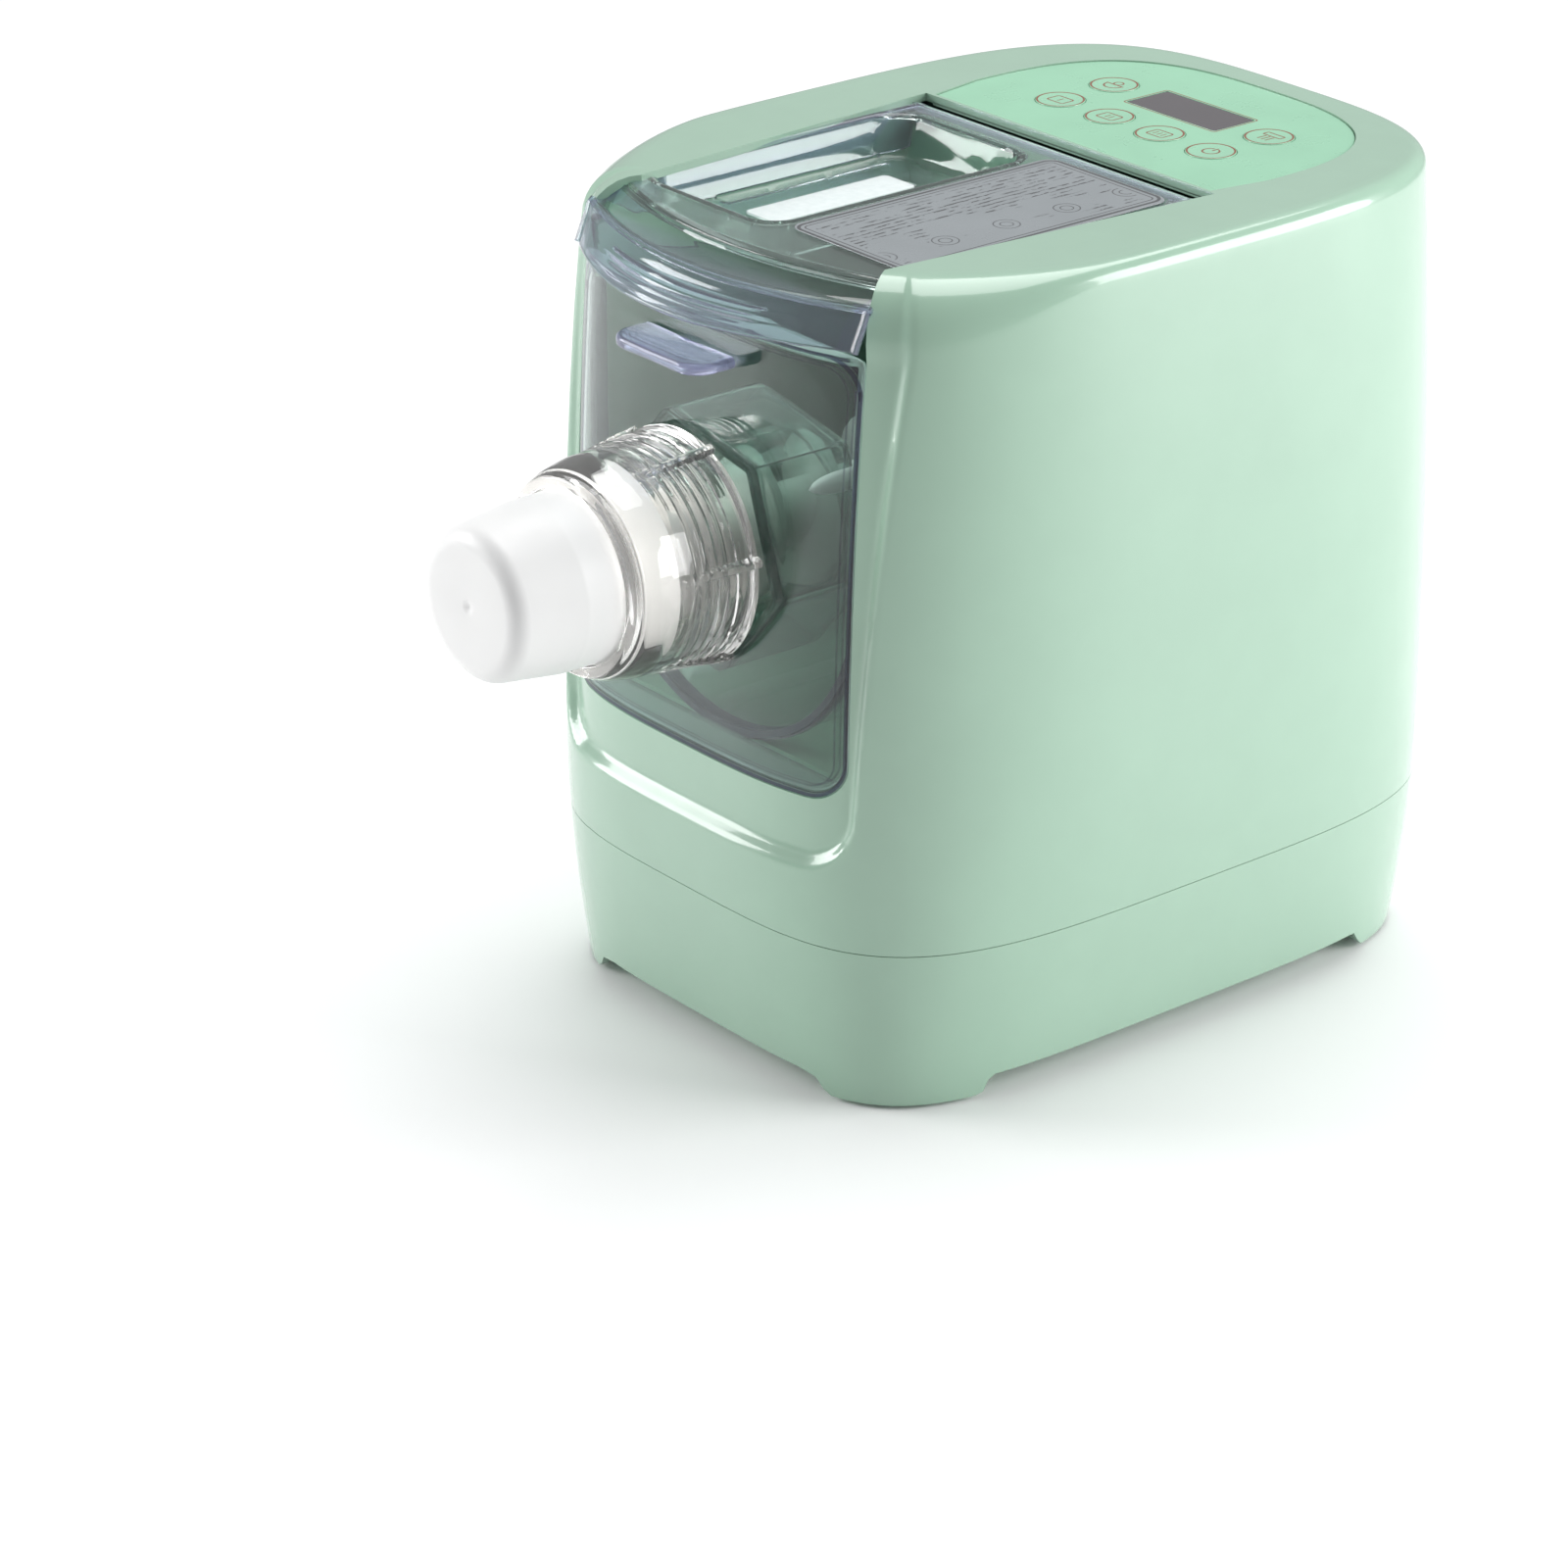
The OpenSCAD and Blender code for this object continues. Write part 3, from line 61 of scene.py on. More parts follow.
# Shapes are worked out in millimetres about the middle of the body, on the table; the screw's axis lies at AXIS_Z
BODY_DEPTH = 285.0
BODY_Y = 1000 * HOUSING_HI[1] - BODY_DEPTH / 2
AXIS_Z = 182.0
SHAFT_BORE = 12.1  # radius of the holes that the drive shaft comes through
SEAM_GAP = 0.15  # half the gap between base and housing
BAY_HALF, SILL, SILL_RADIUS = 72, 124.0, 14  # the opening's half width, its corners' upper end and their radius
TOP_LEVEL = 283.2  # level that film, display, keys and label lie on
KEYS = {node: tuple(500 * (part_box(node)[0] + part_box(node)[1]) - Vector((0, BODY_Y, 0)))[:2]
        for node in ("one_cup_key", "two_cup_key", "three_cup_key", "power_key", "knead_key", "extrude_key")}


def tone(red, green, blue):
    """A colour in light values from its 0 to 255 display values."""
    c = np.array([red, green, blue]) / 255
    return (*np.where(c <= 0.04045, c / 12.92, ((c + 0.055) / 1.055) ** 2.4), 1.0)


# ---------------------------------------------------------------- making meshes


def put(points):
    """Millimetres about the body's middle to metres in the frame."""
    return (np.asarray(points, float) + (0, BODY_Y, 0)) / 1000


def grid_faces(rows, cols, closed=False, turned=False):
    """Quads between the points of a grid, row by row; closed joins its last column to its first."""
    i, j = np.meshgrid(np.arange(rows - 1), np.arange(cols if closed else cols - 1), indexing="ij")
    k = (j + 1) % cols
    quads = np.stack([i * cols + j, i * cols + k, (i + 1) * cols + k, (i + 1) * cols + j], -1).reshape(-1, 4)
    return quads[:, ::-1] if turned else quads


def sheet(points, closed=False, turned=False, look=0):
    """A grid of points (rows, columns, 3) as one part of a mesh, and the number of its finish."""
    return np.asarray(points, float), closed, turned, look


def volume(points, quads):
    """Space inside a closed sheet: the sum over its quads of two corner products."""
    a, b, c, d = (points[quads[:, k]] for k in range(4))
    return (np.einsum("ij,ij->i", a, np.cross(b, c)) + np.einsum("ij,ij->i", a, np.cross(c, d))).sum() / 6


def mesh_of(name, sheets, open_sheets=False, weld=0.004, crease=32.0):
    """Welds sheets of points into one mesh whose edges stay sharp where they bend more than crease degrees. A sheet
    that closes on itself is turned so that it faces outwards; an open one faces as it was given."""
    points, quads, looks_of, base = [], [], [], 0
    for grid, closed, turned, look in sheets:
        rows, cols = grid.shape[:2]
        flat = grid.reshape(-1, 3)
        faces = grid_faces(rows, cols, closed, turned)
        if not open_sheets and volume(flat - flat.mean(0), faces) < 0:
            faces = faces[:, ::-1]
        quads.append(faces + base)
        looks_of.append(np.full(len(faces), look))
        points.append(flat)
        base += rows * cols
    points, quads, looks_of = np.concatenate(points), np.concatenate(quads), np.concatenate(looks_of)
    cells = np.round(points / weld).astype(np.int64)
    _, first, where = np.unique(cells, axis=0, return_index=True, return_inverse=True)
    points, quads = points[first], where.reshape(-1)[quads]
    doubled = quads == np.roll(quads, -1, axis=1)
    crossed = (quads[:, 0] == quads[:, 2]) | (quads[:, 1] == quads[:, 3])
    full = (doubled.sum(1) == 0) & ~crossed
    thin = (doubled.sum(1) == 1) & ~crossed
    faces = quads[full].tolist() + quads[thin][~doubled[thin]].reshape(-1, 3).tolist()
    mesh = bpy.data.meshes.new(name)
    mesh.from_pydata(put(points).tolist(), [], faces)
    mesh.polygons.foreach_set("material_index", np.concatenate([looks_of[full], looks_of[thin]]).astype(np.int32))
    mesh.polygons.foreach_set("use_smooth", np.ones(len(faces), bool))
    mesh.validate()
    mesh.set_sharp_from_angle(angle=math.radians(crease))
    return mesh


def make(name, sheets, looks, body, nodes=(), crease=32.0, wall=0.0, outwards=False, rim=0, cuts=()):
    """Makes one piece that rides on a body: sheets welded, given a wall inwards or outwards, and cut by prisms. The
    wall's rim takes the look rim places on."""
    mesh = mesh_of(name, sheets, wall > 0, crease=crease)
    for look in looks:
        mesh.materials.append(LOOKS[look])
    item = bpy.data.objects.new(name, mesh)
    bpy.context.scene.collection.objects.link(item)
    if wall:
        solid = item.modifiers.new("Wall", "SOLIDIFY")
        solid.thickness, solid.offset, solid.material_offset_rim = wall / 1000, 1 if outwards else -1, rim
    if cuts:
        tool = bpy.data.objects.new(name + "_cuts", mesh_of(name + "_cuts", cuts))
        tool.data.materials.append(LOOKS[looks[0]])
        bpy.context.scene.collection.objects.link(tool)
        cut = item.modifiers.new("Cuts", "BOOLEAN")
        cut.operation, cut.solver, cut.object = "DIFFERENCE", "EXACT", tool
        bpy.context.view_layer.update()
        mesh = bpy.data.meshes.new_from_object(item.evaluated_get(bpy.context.evaluated_depsgraph_get()))
        item.modifiers.clear()
        item.data = mesh
        mesh.set_sharp_from_angle(angle=math.radians(crease))
        bpy.data.objects.remove(tool)
    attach(item, body)
    if nodes:
        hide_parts(*nodes)
    return item


def at_height(line, z):
    """A line in (x, y) at one height."""
    return np.concatenate([line, np.full((len(line), 1), z)], 1)


def at_depth(line, y):
    """A line in (x, z) at one y, or at one for each of its points."""
    return np.stack([line[:, 0], np.broadcast_to(y, len(line)), line[:, 1]], -1)


def unit(vectors):
    """Rows of vectors, each scaled to the length one."""
    return vectors / np.linalg.norm(vectors, axis=1, keepdims=True)


def prism(outline, low, high, axis="Z"):
    """A straight cutter with the given outline: along Z it is in (x, y), along Y in (x, z)."""
    outline = np.asarray(outline, float)
    middle = np.broadcast_to(outline.mean(0), outline.shape)
    place = {"Z": at_height, "Y": at_depth}[axis]
    return sheet(np.stack([place(line, float(at)) for line, at in
                           ((middle, low), (outline, low), (outline, high), (middle, high))]), True)


def circle(x, y, radius, steps=24):
    """A circle's outline, anticlockwise."""
    t = np.linspace(0, 2 * np.pi, steps, endpoint=False)
    return np.stack([x + radius * np.cos(t), y + radius * np.sin(t)], -1)


def shaft_hole():
    """A cutter for the drive shaft's hole in a rear wall."""
    return prism(circle(0, AXIS_Z, SHAFT_BORE, 48), 5, 30, "Y")


def rectangle(x0, y0, x1, y1, radius=0.0, steps=5):
    """A rectangle's outline, anticlockwise, with rounded corners."""
    return softened([(x0, y0), (x1, y0), (x1, y1), (x0, y1)], radius, steps)


def softened(corners, radii, steps=6, closed=True):
    """A line through corners with each one rounded by its radius: an arc between its two tangent points."""
    p = np.asarray(corners, float)
    radii = np.broadcast_to(np.asarray(radii, float), (len(p),))
    out = []
    for i, (here, radius) in enumerate(zip(p, radii)):
        if radius <= 0 or (not closed and i in (0, len(p) - 1)):
            out.append(here[None])
            continue
        back, ahead = p[i - 1] - here, p[(i + 1) % len(p)] - here
        lb, la = np.linalg.norm(back), np.linalg.norm(ahead)
        back, ahead = back / lb, ahead / la
        half = 0.5 * math.acos(np.clip(back @ ahead, -1, 1))
        reach = min(radius / math.tan(half), 0.499 * lb, 0.499 * la)
        radius = reach * math.tan(half)
        centre = here + (back + ahead) / np.linalg.norm(back + ahead) * radius / math.sin(half)
        a, b = here + back * reach - centre, here + ahead * reach - centre
        turn = math.acos(np.clip(a @ b / radius**2, -1, 1))
        t = np.linspace(0, 1, steps + 1)[:, None]
        out.append(centre + (a * np.sin((1 - t) * turn) + b * np.sin(t * turn)) / math.sin(turn))
    return np.concatenate(out)


def turned_round(profile, steps=128, grow=None):
    """A profile of (y, radius) carried round the axis along Y; grow(y, angle) adds to the radius."""
    profile = np.asarray(profile, float)
    t = np.linspace(0, 2 * np.pi, steps, endpoint=False)
    y, r = np.broadcast_arrays(profile[:, :1], profile[:, 1:] + 0 * t)
    if grow is not None:
        r = r + grow(y, t[None, :] + 0 * r) * (r > 1e-6)
    return np.stack([r * np.cos(t), y, AXIS_Z + r * np.sin(t)], -1)


def looped(points):
    """The same line with its first point again at its end."""
    return np.concatenate([points, points[:1]])


def ramp(x, low, high):
    """Runs smoothly from 0 to 1 while x goes from low to high."""
    t = np.clip((x - low) / (high - low), 0, 1)
    return t * t * (3 - 2 * t)


# ---------------------------------------------------------------- shape of the body

# Columns of the body's right half: their x along the front, then their share of the turn to the middle of the back
FRONT_X = np.concatenate([np.linspace(0, 50, 9),
                          BAY_HALF - SILL_RADIUS + SILL_RADIUS * np.sin(np.linspace(0, np.pi / 2, 9)),
                          np.arange(73.2, 90.1, 1.2)])
WINDOW = 17  # the column at the opening's side, BAY_HALF from the middle
TURN = np.linspace(0, 1, 116)[1:]
COLUMNS = len(FRONT_X) + len(TURN)
# How far the body draws in at the table and at the top, at each side and at each end
SIDE_IN, END_IN = (14, 6), (12, 7)


def half_sizes(b, z):
    """Half the width and half the depth at height z: both draw in below the waist by the power 1.4 of the distance
    and above it by its square."""
    below = (np.maximum(b.waist - z, 0) / b.waist) ** 1.4
    above = (np.maximum(z - b.waist, 0) / (b.height - b.waist)) ** 2
    return (b.width / 2 - (SIDE_IN[0] * below + SIDE_IN[1] * above),
            b.depth / 2 - (END_IN[0] * below + END_IN[1] * above))


def plan(b, z):
    """The right half of the body's outline at each height z (rows, columns), front to back: a power oval whose half
    width and half depth bow in above and below the waist and whose corners get squarer towards the table."""
    half_w, half_d = half_sizes(b, z)
    power = b.squareness + 1.4 * (np.maximum(b.waist - z, 0) / b.waist) ** 1.2
    n = len(FRONT_X)
    w, d, p = half_w[:, :n], half_d[:, :n], power[:, :n]
    x = FRONT_X + 0 * w
    y = -d * (1 - (x / w) ** p) ** (1 / p)
    w, d, p = half_w[:, n:], half_d[:, n:], power[:, n:]
    last = FRONT_X[-1]
    start = np.arctan2(-d * (1 - (last / w) ** p) ** (1 / p), last)
    angle = start + (np.pi / 2 - start) * TURN
    r = (np.abs(np.cos(angle) / w) ** p + np.abs(np.sin(angle) / d) ** p) ** (-1 / p)
    x = np.concatenate([x, np.where(TURN == 1, 0, r * np.cos(angle))], 1)
    y = np.concatenate([y, r * np.sin(angle)], 1)
    nx = np.sign(x) * np.abs(x / half_w) ** (power - 1) / half_w
    ny = np.sign(y) * np.abs(y / half_d) ** (power - 1) / half_d
    size = np.hypot(nx, ny)
    return x, y, nx / size, ny / size


def panel_depth(b, x, z):
    """How deep the sunk panel lies: its edge is a rounded outline that widens upwards and fades into the top."""
    corner = 17
    wide = 74 + 9 * np.clip((z - 100) / 173, 0, 1)
    q = np.stack([np.abs(x) - (wide - corner), (b.panel_low + corner) - z])
    away = np.hypot(*np.maximum(q, 0)) + np.minimum(q.max(0), 0) - corner
    return b.panel_depth * ramp(-away, -3.5, 2.5) * (1 - ramp(z, 258, 280))


def wall(b, z):
    """Points of the body's side at heights z (rows, columns), with the sunk panel pushed in."""
    x, y, _, _ = plan(b, z)
    return np.stack([x, y + np.where(y < 0, panel_depth(b, x, z), 0), z], -1)


def edge_radius(b):
    """Radius of the top edge by column: large at the nose, small along the sides."""
    t = np.arange(COLUMNS) / (COLUMNS - 1)
    return b.nose_radius + (b.edge_radius - b.nose_radius) * ramp(t, 0.20, 0.36)


def top_rows(b, steps=9):
    """Rows over the top edge: an arc that starts along the side's own slope and ends level."""
    r = edge_radius(b)
    level = np.full((1, COLUMNS), float(b.height)) - r
    here, below = wall(b, level), wall(b, level - 1)
    _, _, nx, ny = plan(b, level)
    lean = np.arctan(-((here - below)[..., 0] * nx + (here - below)[..., 1] * ny))
    level = b.height - r * (1 - np.sin(lean))
    here = wall(b, level)
    centre = here - np.stack([r * np.cos(lean) * nx, r * np.cos(lean) * ny, r * np.sin(lean)], -1)
    t = lean + (np.pi / 2 - lean) * np.linspace(0, 1, steps)[:, None]
    arc = centre + np.stack([r * np.cos(t) * nx, r * np.cos(t) * ny, r * np.sin(t)], -1)
    return level, arc


def both_halves(right):
    """A right half from the middle of the front to the middle of the back, closed by its mirror image."""
    left = right[:, -2:0:-1] * (-1, 1, 1)
    return np.concatenate([right, left], 1)


def film_line(p, grow, steps=60):
    """Right half of the film's outline from its front corner to the middle of its back: straight, then a power oval."""
    half, low = p.film_half + grow, p.film_front - grow
    mid = p.film_front + 22
    deep = p.film_back + grow - mid
    t = np.linspace(0, np.pi / 2, steps)
    k = 2 / p.film_power
    x, y = half * np.cos(t) ** k, mid + deep * np.sin(t) ** k
    x[-1] = 0
    return np.concatenate([[[p.film_share * half, low]], np.stack([x, y], -1)])


def spaced(line, share):
    """Points along a line at the given shares of its length."""
    steps = np.concatenate([[0], np.cumsum(np.linalg.norm(np.diff(line, axis=0), axis=1))])
    return np.stack([np.interp(share * steps[-1], steps, line[:, i]) for i in range(line.shape[1])], -1)


def housing_sheets(b, p):
    """The housing in sheets: its side from the seam to the window's sill, the side up over the top edge beside the
    opening, the level top between that edge and the openings, and a bridge between the lid and the film."""
    low = np.concatenate([np.linspace(b.seam + SEAM_GAP, 82, 10), np.arange(83.2, 100, 1.2)])
    lower = wall(b, low[:, None] + np.zeros((1, COLUMNS)))
    # the sill dips in front of the opening and rises round a quarter circle to its corner
    x = FRONT_X[FRONT_X < BAY_HALF + 0.001]
    bend = np.maximum(x - (BAY_HALF - SILL_RADIUS), 0) / SILL_RADIUS
    sill = np.full(COLUMNS, SILL)
    sill[:len(x)] = SILL - SILL_RADIUS * np.sqrt(np.clip(1 - bend**2, 0, 1))
    middle = wall(b, low[-1] + (sill - low[-1]) * np.linspace(0, 1, 14)[:, None])
    level, arc = top_rows(b)
    upper = wall(b, SILL + (level - SILL) * np.linspace(0, 1, 60)[:, None])
    upper = np.concatenate([upper, arc[1:]])[:, WINDOW:]
    # the flat top: lines between the top edge and the openings for lid and film
    outer = upper[-1, :, :2]
    film = film_line(p, 0.3)
    turn = int(np.argmin(np.abs(outer[:, 1] - b.bay_back) + 1000 * (outer[:, 0] < 60)))
    beside_lid = spaced(np.array([outer[0], [BAY_HALF, b.bay_back]]), np.linspace(0, 1, turn))
    inner = np.concatenate([beside_lid, spaced(film, np.linspace(0, 1, len(outer) - turn))])
    flat = outer + (inner - outer) * np.linspace(0, 1, 9)[:, None, None]
    flat = np.stack([at_height(line, b.height) for line in flat])
    across = np.linspace(-1, 1, 25)[:, None] * (1, 0)
    bridge = np.stack([at_height(across * half + (0, y), b.height) for half, y in ((BAY_HALF, b.bay_back), film[0])])
    parts = [sheet(both_halves(lower), True), sheet(both_halves(middle), True)]
    for grid in (upper, flat):
        parts += [sheet(grid), sheet(grid * (-1, 1, 1), turned=True)]
    return parts + [sheet(bridge)]


def slab(outline, low, high, edge=0.4, steps=4, middle=None):
    """A flat plate as rows of its outline: from the middle of the underside out, up the side, over an arc of radius
    edge and back to the middle of the top. The outline runs anticlockwise and is seen whole from its middle."""
    outline = np.asarray(outline, float)
    middle = np.asarray(middle if middle is not None else (outline.max(0) + outline.min(0)) / 2)
    away = outline - middle
    reach = np.linalg.norm(away, axis=1, keepdims=True)
    t = np.linspace(0, np.pi / 2, steps + 1)
    rows = [(edge + 0.5, low), (edge, low)]
    rows += [(edge * (1 - math.sin(a)), low + edge * (1 - math.cos(a))) for a in t[1:]]
    rows += [(edge * (1 - math.cos(a)), high - edge + edge * math.sin(a)) for a in t] + [(edge + 0.5, high)]
    rings = [middle + share * away for share in (0, 0.25, 0.5, 0.75)]
    return np.stack([at_height(ring, low) for ring in rings]
                    + [at_height(middle + away * (1 - inset / reach), z) for inset, z in rows]
                    + [at_height(ring, high) for ring in rings[::-1]])


def film_outline(p, grow=0.0):
    """The film's whole outline, anticlockwise from its front right corner."""
    right = film_line(p, grow)
    front = spaced(np.array([right[0] * (-1, 1), right[0]]), np.linspace(0, 1, 30))
    return np.concatenate([right, right[-2::-1] * (-1, 1), front[1:-1]])


def basin_relief(d, x, y):
    """Height of the pouring basin against the lid's top: sunk by how far a point lies inside a rounded outline, with
    a steep right wall and sloping others; a groove with two drains in its floor, and a bead round it."""
    cx, cy = (d.basin_left + d.basin_right) / 2, (d.basin_front + d.basin_back) / 2
    hx, hy = (d.basin_right - d.basin_left) / 2, (d.basin_back - d.basin_front) / 2
    corner, groove_x = 11, d.basin_left + 7
    q = np.stack([np.abs(x - cx) - (hx - corner), np.abs(y - cy) - (hy - corner)])
    inside = corner - np.hypot(*np.maximum(q, 0)) - np.minimum(q.max(0), 0)
    rear = ramp(y, cy + hy - 16, cy + hy - 6) * (1 - ramp(x, cx + 10, cx + 28))
    slope = 2.6 + 1.2 * (1 - ramp(x, cx - 6, cx + 10)) + 3.0 * rear
    groove = ramp(-np.abs(x - groove_x), -2.4, -0.8) * ramp(-np.abs(y + 38) + 36, 0, 3)
    drains = sum(np.exp(-((x - groove_x) ** 2 + (y - drain) ** 2) / 2.2) for drain in (-52.4, -27.7))
    bead = 0.45 * ramp(-np.abs(inside + 1.6), -1.4, -0.2) * (inside < 0)
    return bead - d.basin_depth * ramp(inside, 0, slope) - 0.8 * groove - 0.9 * drains


def lid_sheet(d):
    """The lid as one skin: level behind, a pouring basin let into it, a ridge, a hollow slope and a lip that bows
    forwards; across, it bends down into skirts at both sides; behind, it rolls round its hinge."""
    half, top, root_z = d.half_width, d.top, d.root_height
    bend, nose_long, nose_drop = 2, 3.5, 1.4
    x = np.linspace(-half + bend, half - bend, 131)
    u = x / half
    ridge, root, tip = d.ridge + d.ridge_sag * u**2, d.root + d.root_sag * u**2, d.lip + d.lip_sag * u**2
    y_flat = d.roll + (ridge + nose_long - d.roll) * np.linspace(0, 1, 150)[:, None]
    x_flat = x + 0 * y_flat
    rim = 0.5 * ramp(-np.abs(half - np.abs(x_flat) - 3.4), -1.6, -0.4)
    flat = np.stack([x_flat, y_flat, top + basin_relief(d, x_flat, y_flat) + rim], -1)
    # the nose, a quarter turn from the level top down to the ridge
    s = np.linspace(0, 1, 8)[:, None]
    nose = np.stack([x + 0 * s, ridge + nose_long - nose_long * np.sin(s * np.pi / 2),
                     top + rim[-1] * (1 - s) - nose_drop * (1 - np.cos(s * np.pi / 2))], -1)
    # the slope, hollow between ridge and root, with a bead along each
    s = np.linspace(0, 1, 30)[:, None]
    hollow = root_z + (top - nose_drop - root_z) * (1 - s) ** 1.7 - np.sin(np.pi * s)
    hollow = hollow + 0.9 * np.exp(-((s * 14 - 1.0) / 0.9) ** 2) + 1.1 * np.exp(-(((1 - s) * 14 - 1.1) / 0.9) ** 2)
    slope = np.stack([x + 0 * s, ridge + (root - ridge) * s, hollow + 0 * x], -1)
    # the lip, from root to tip, with fine stripes in its middle part
    s = np.linspace(0, 1, 26)[:, None]
    fall = (d.lip_height - np.abs(u) ** 6 - root_z) * s**1.15
    stripes = 0.22 * np.cos(2 * np.pi * 7 * s) * ramp(s, 0.15, 0.3) * (1 - ramp(s, 0.86, 0.96))
    stripes = stripes * (1 - ramp(np.abs(u), 0.45, 0.75))
    lip_z = root_z + 0.9 * np.sin(np.pi * np.clip(s * 3, 0, 1)) + fall + stripes
    lip = np.stack([x + 0 * s, root + (tip - root) * s, lip_z], -1)
    # the roll behind, half a turn round the hinge
    s = np.linspace(0, 1, 14)[:, None]
    roll = np.stack([x + 0 * s, d.roll + d.roll_radius * np.sin(np.pi * s) + 0 * x,
                     top - d.roll_radius + d.roll_radius * np.cos(np.pi * s) + rim[0] * (1 - s) ** 4 + 0 * x], -1)
    body = np.concatenate([roll[:0:-1], flat, nose[1:], slope[1:], lip[1:]])
    # the skirts: the last column bends over an arc and goes down, hardly at all along the roll
    _, y, z = body[:, -1].T
    drop = np.where(y > 0, 1.0, ramp(y, -119, -101)) * d.skirt
    drop[:len(roll)] = 0.2
    side = [np.stack([half - bend + bend * np.sin(a) + 0 * drop, y,
                      z - bend * (1 - np.cos(a)) * np.minimum(drop, bend) / bend], -1)
            for a in np.linspace(0, np.pi / 2, 5)[1:]]
    bent = side[-1][:, 2]
    side += [np.stack([half + 0 * drop, y, bent - np.maximum(drop - bend, 0) * share], -1)
             for share in np.linspace(0, 1, 7)[1:]]
    side = np.stack(side, 1)
    return np.concatenate([side[:, ::-1] * (-1, 1, 1), body, side], 1)


def cover_face(b, x, z):
    """Front surface of the body with the panel sunk all over: where the window lies."""
    half_w, half_d = half_sizes(b, z)
    share = 1 - np.minimum(np.abs(x) / half_w, 0.99) ** b.squareness
    return -half_d * share ** (1 / b.squareness) + b.panel_depth


def window_outline():
    """The window's outline in (x, z), anticlockwise seen from the front."""
    half, low, high = 71.5, 110.5, 261.3
    return softened([(-half, low), (half, low), (half, high), (-half, high)], [13.5, 13.5, 3, 3], 10)


def dense(line, step=1.0):
    """A closed line with points no further apart than step."""
    line = looped(np.asarray(line, float))
    length = np.linalg.norm(np.diff(line, axis=0), axis=1).sum()
    return spaced(line, np.linspace(0, 1, int(length / step) + 1)[:-1])


# ---------------------------------------------------------------- finishes


class Value:
    """A socket of a material. Sums on it add Math nodes."""

    def __init__(self, look, socket):
        self.look, self.socket = look, socket

    def _sum(self, operation, a, b=0.0):
        return self.look.add("ShaderNodeMath", {"operation": operation}, {0: a, 1: b})

    def __add__(self, other):
        return self._sum("ADD", self, other)

    def __sub__(self, other):
        return self._sum("SUBTRACT", self, other)

    def __rsub__(self, other):
        return self._sum("SUBTRACT", other, self)

    def __mul__(self, other):
        return self._sum("MULTIPLY", self, other)

    def __pow__(self, other):
        return self._sum("POWER", self, other)

    def __abs__(self):
        return self._sum("ABSOLUTE", self)

    def __mod__(self, other):
        return self._sum("FLOORED_MODULO", self, other)

    def __or__(self, other):
        return self._sum("MAXIMUM", self, other)

    def __and__(self, other):
        return self._sum("MINIMUM", self, other)

    __radd__, __rmul__, __ror__, __rand__ = __add__, __mul__, __or__, __and__


class Look:
    """One material and the nodes in it."""

    def __init__(self, name):
        self.material = bpy.data.materials.new(name)
        self.material.use_nodes = True
        self.tree = self.material.node_tree
        self.tree.nodes.clear()
        self.output = self.tree.nodes.new("ShaderNodeOutputMaterial")

    def add(self, kind, settings=None, sockets=None, out=0):
        """Adds any node: its type, its settings, its sockets' values or links, and which output to give back."""
        node = self.tree.nodes.new(kind)
        for key, value in (settings or {}).items():
            setattr(node, key, value)
        for key, value in (sockets or {}).items():
            if isinstance(value, Value):
                self.tree.links.new(value.socket, node.inputs[key])
            else:
                node.inputs[key].default_value = value
        return Value(self, node.outputs[out])

    def place(self, axis=None, centre=(0, 0, 0)):
        """Millimetres about a centre, as a vector or along one axis; the centre is given about the body's middle."""
        here = self.add("ShaderNodeTexCoord", out="Object")
        x, y, z = centre
        scaled = self.add("ShaderNodeMapping", {},
                          {0: here, "Scale": (1000, 1000, 1000), "Location": (-x, -y - BODY_Y, -z)})
        if axis is None:
            return scaled
        return self.add("ShaderNodeSeparateXYZ", {}, {0: scaled}, out="XYZ".index(axis))

    def noise(self, size, detail=3.0, where=None):
        """Clouds from 0 to 1, about size millimetres across."""
        where = where or self.place()
        return self.add("ShaderNodeTexNoise", {},
                        {"Vector": where, "Scale": 1 / size, "Detail": detail, "Roughness": 0.55}, out="Fac")

    def between(self, value, low, high, start=0.0, end=1.0):
        """Runs smoothly from start to end while value goes from low to high."""
        return self.add("ShaderNodeMapRange", {"interpolation_type": "SMOOTHSTEP"},
                        {"Value": value, "From Min": low, "From Max": high, "To Min": start, "To Max": end})

    def stroke(self, value, width, soft=0.1):
        """A line of a width where the value crosses nought."""
        return self.between(abs(value), width / 2 - soft, width / 2 + soft, 1.0, 0.0)

    def frame(self, x, y, half_x, half_y, radius):
        """Distance from a rounded rectangle's outline: below nought inside."""
        dx, dy = abs(x) - (half_x - radius), abs(y) - (half_y - radius)
        return ((dx | 0.0) ** 2 + (dy | 0.0) ** 2) ** 0.5 + ((dx | dy) & 0.0) - radius

    def blend(self, share, first, second):
        """The first colour, going over to the second by share."""
        return self.add("ShaderNodeMix", {"data_type": "RGBA"}, {0: share, 6: first, 7: second}, out=2)

    def bump(self, height, strength=0.3, depth=0.1):
        """A normal from a height whose share 1 stands for depth millimetres."""
        return self.add("ShaderNodeBump", {}, {"Height": height, "Strength": strength, "Distance": depth / 1000},
                        out="Normal")

    def solid(self, **sockets):
        """The surface shader; names with _ for spaces."""
        named = {key.replace("_", " "): value for key, value in sockets.items()}
        return self.add("ShaderNodeBsdfPrincipled", {}, named)

    def mix(self, share, first, second):
        """The first shader, going over to the second by share."""
        return self.add("ShaderNodeMixShader", {}, {0: share, 1: first, 2: second})

    def done(self, surface):
        """Links the surface to the output and gives back the material."""
        self.tree.links.new(surface.socket, self.output.inputs["Surface"])
        return self.material


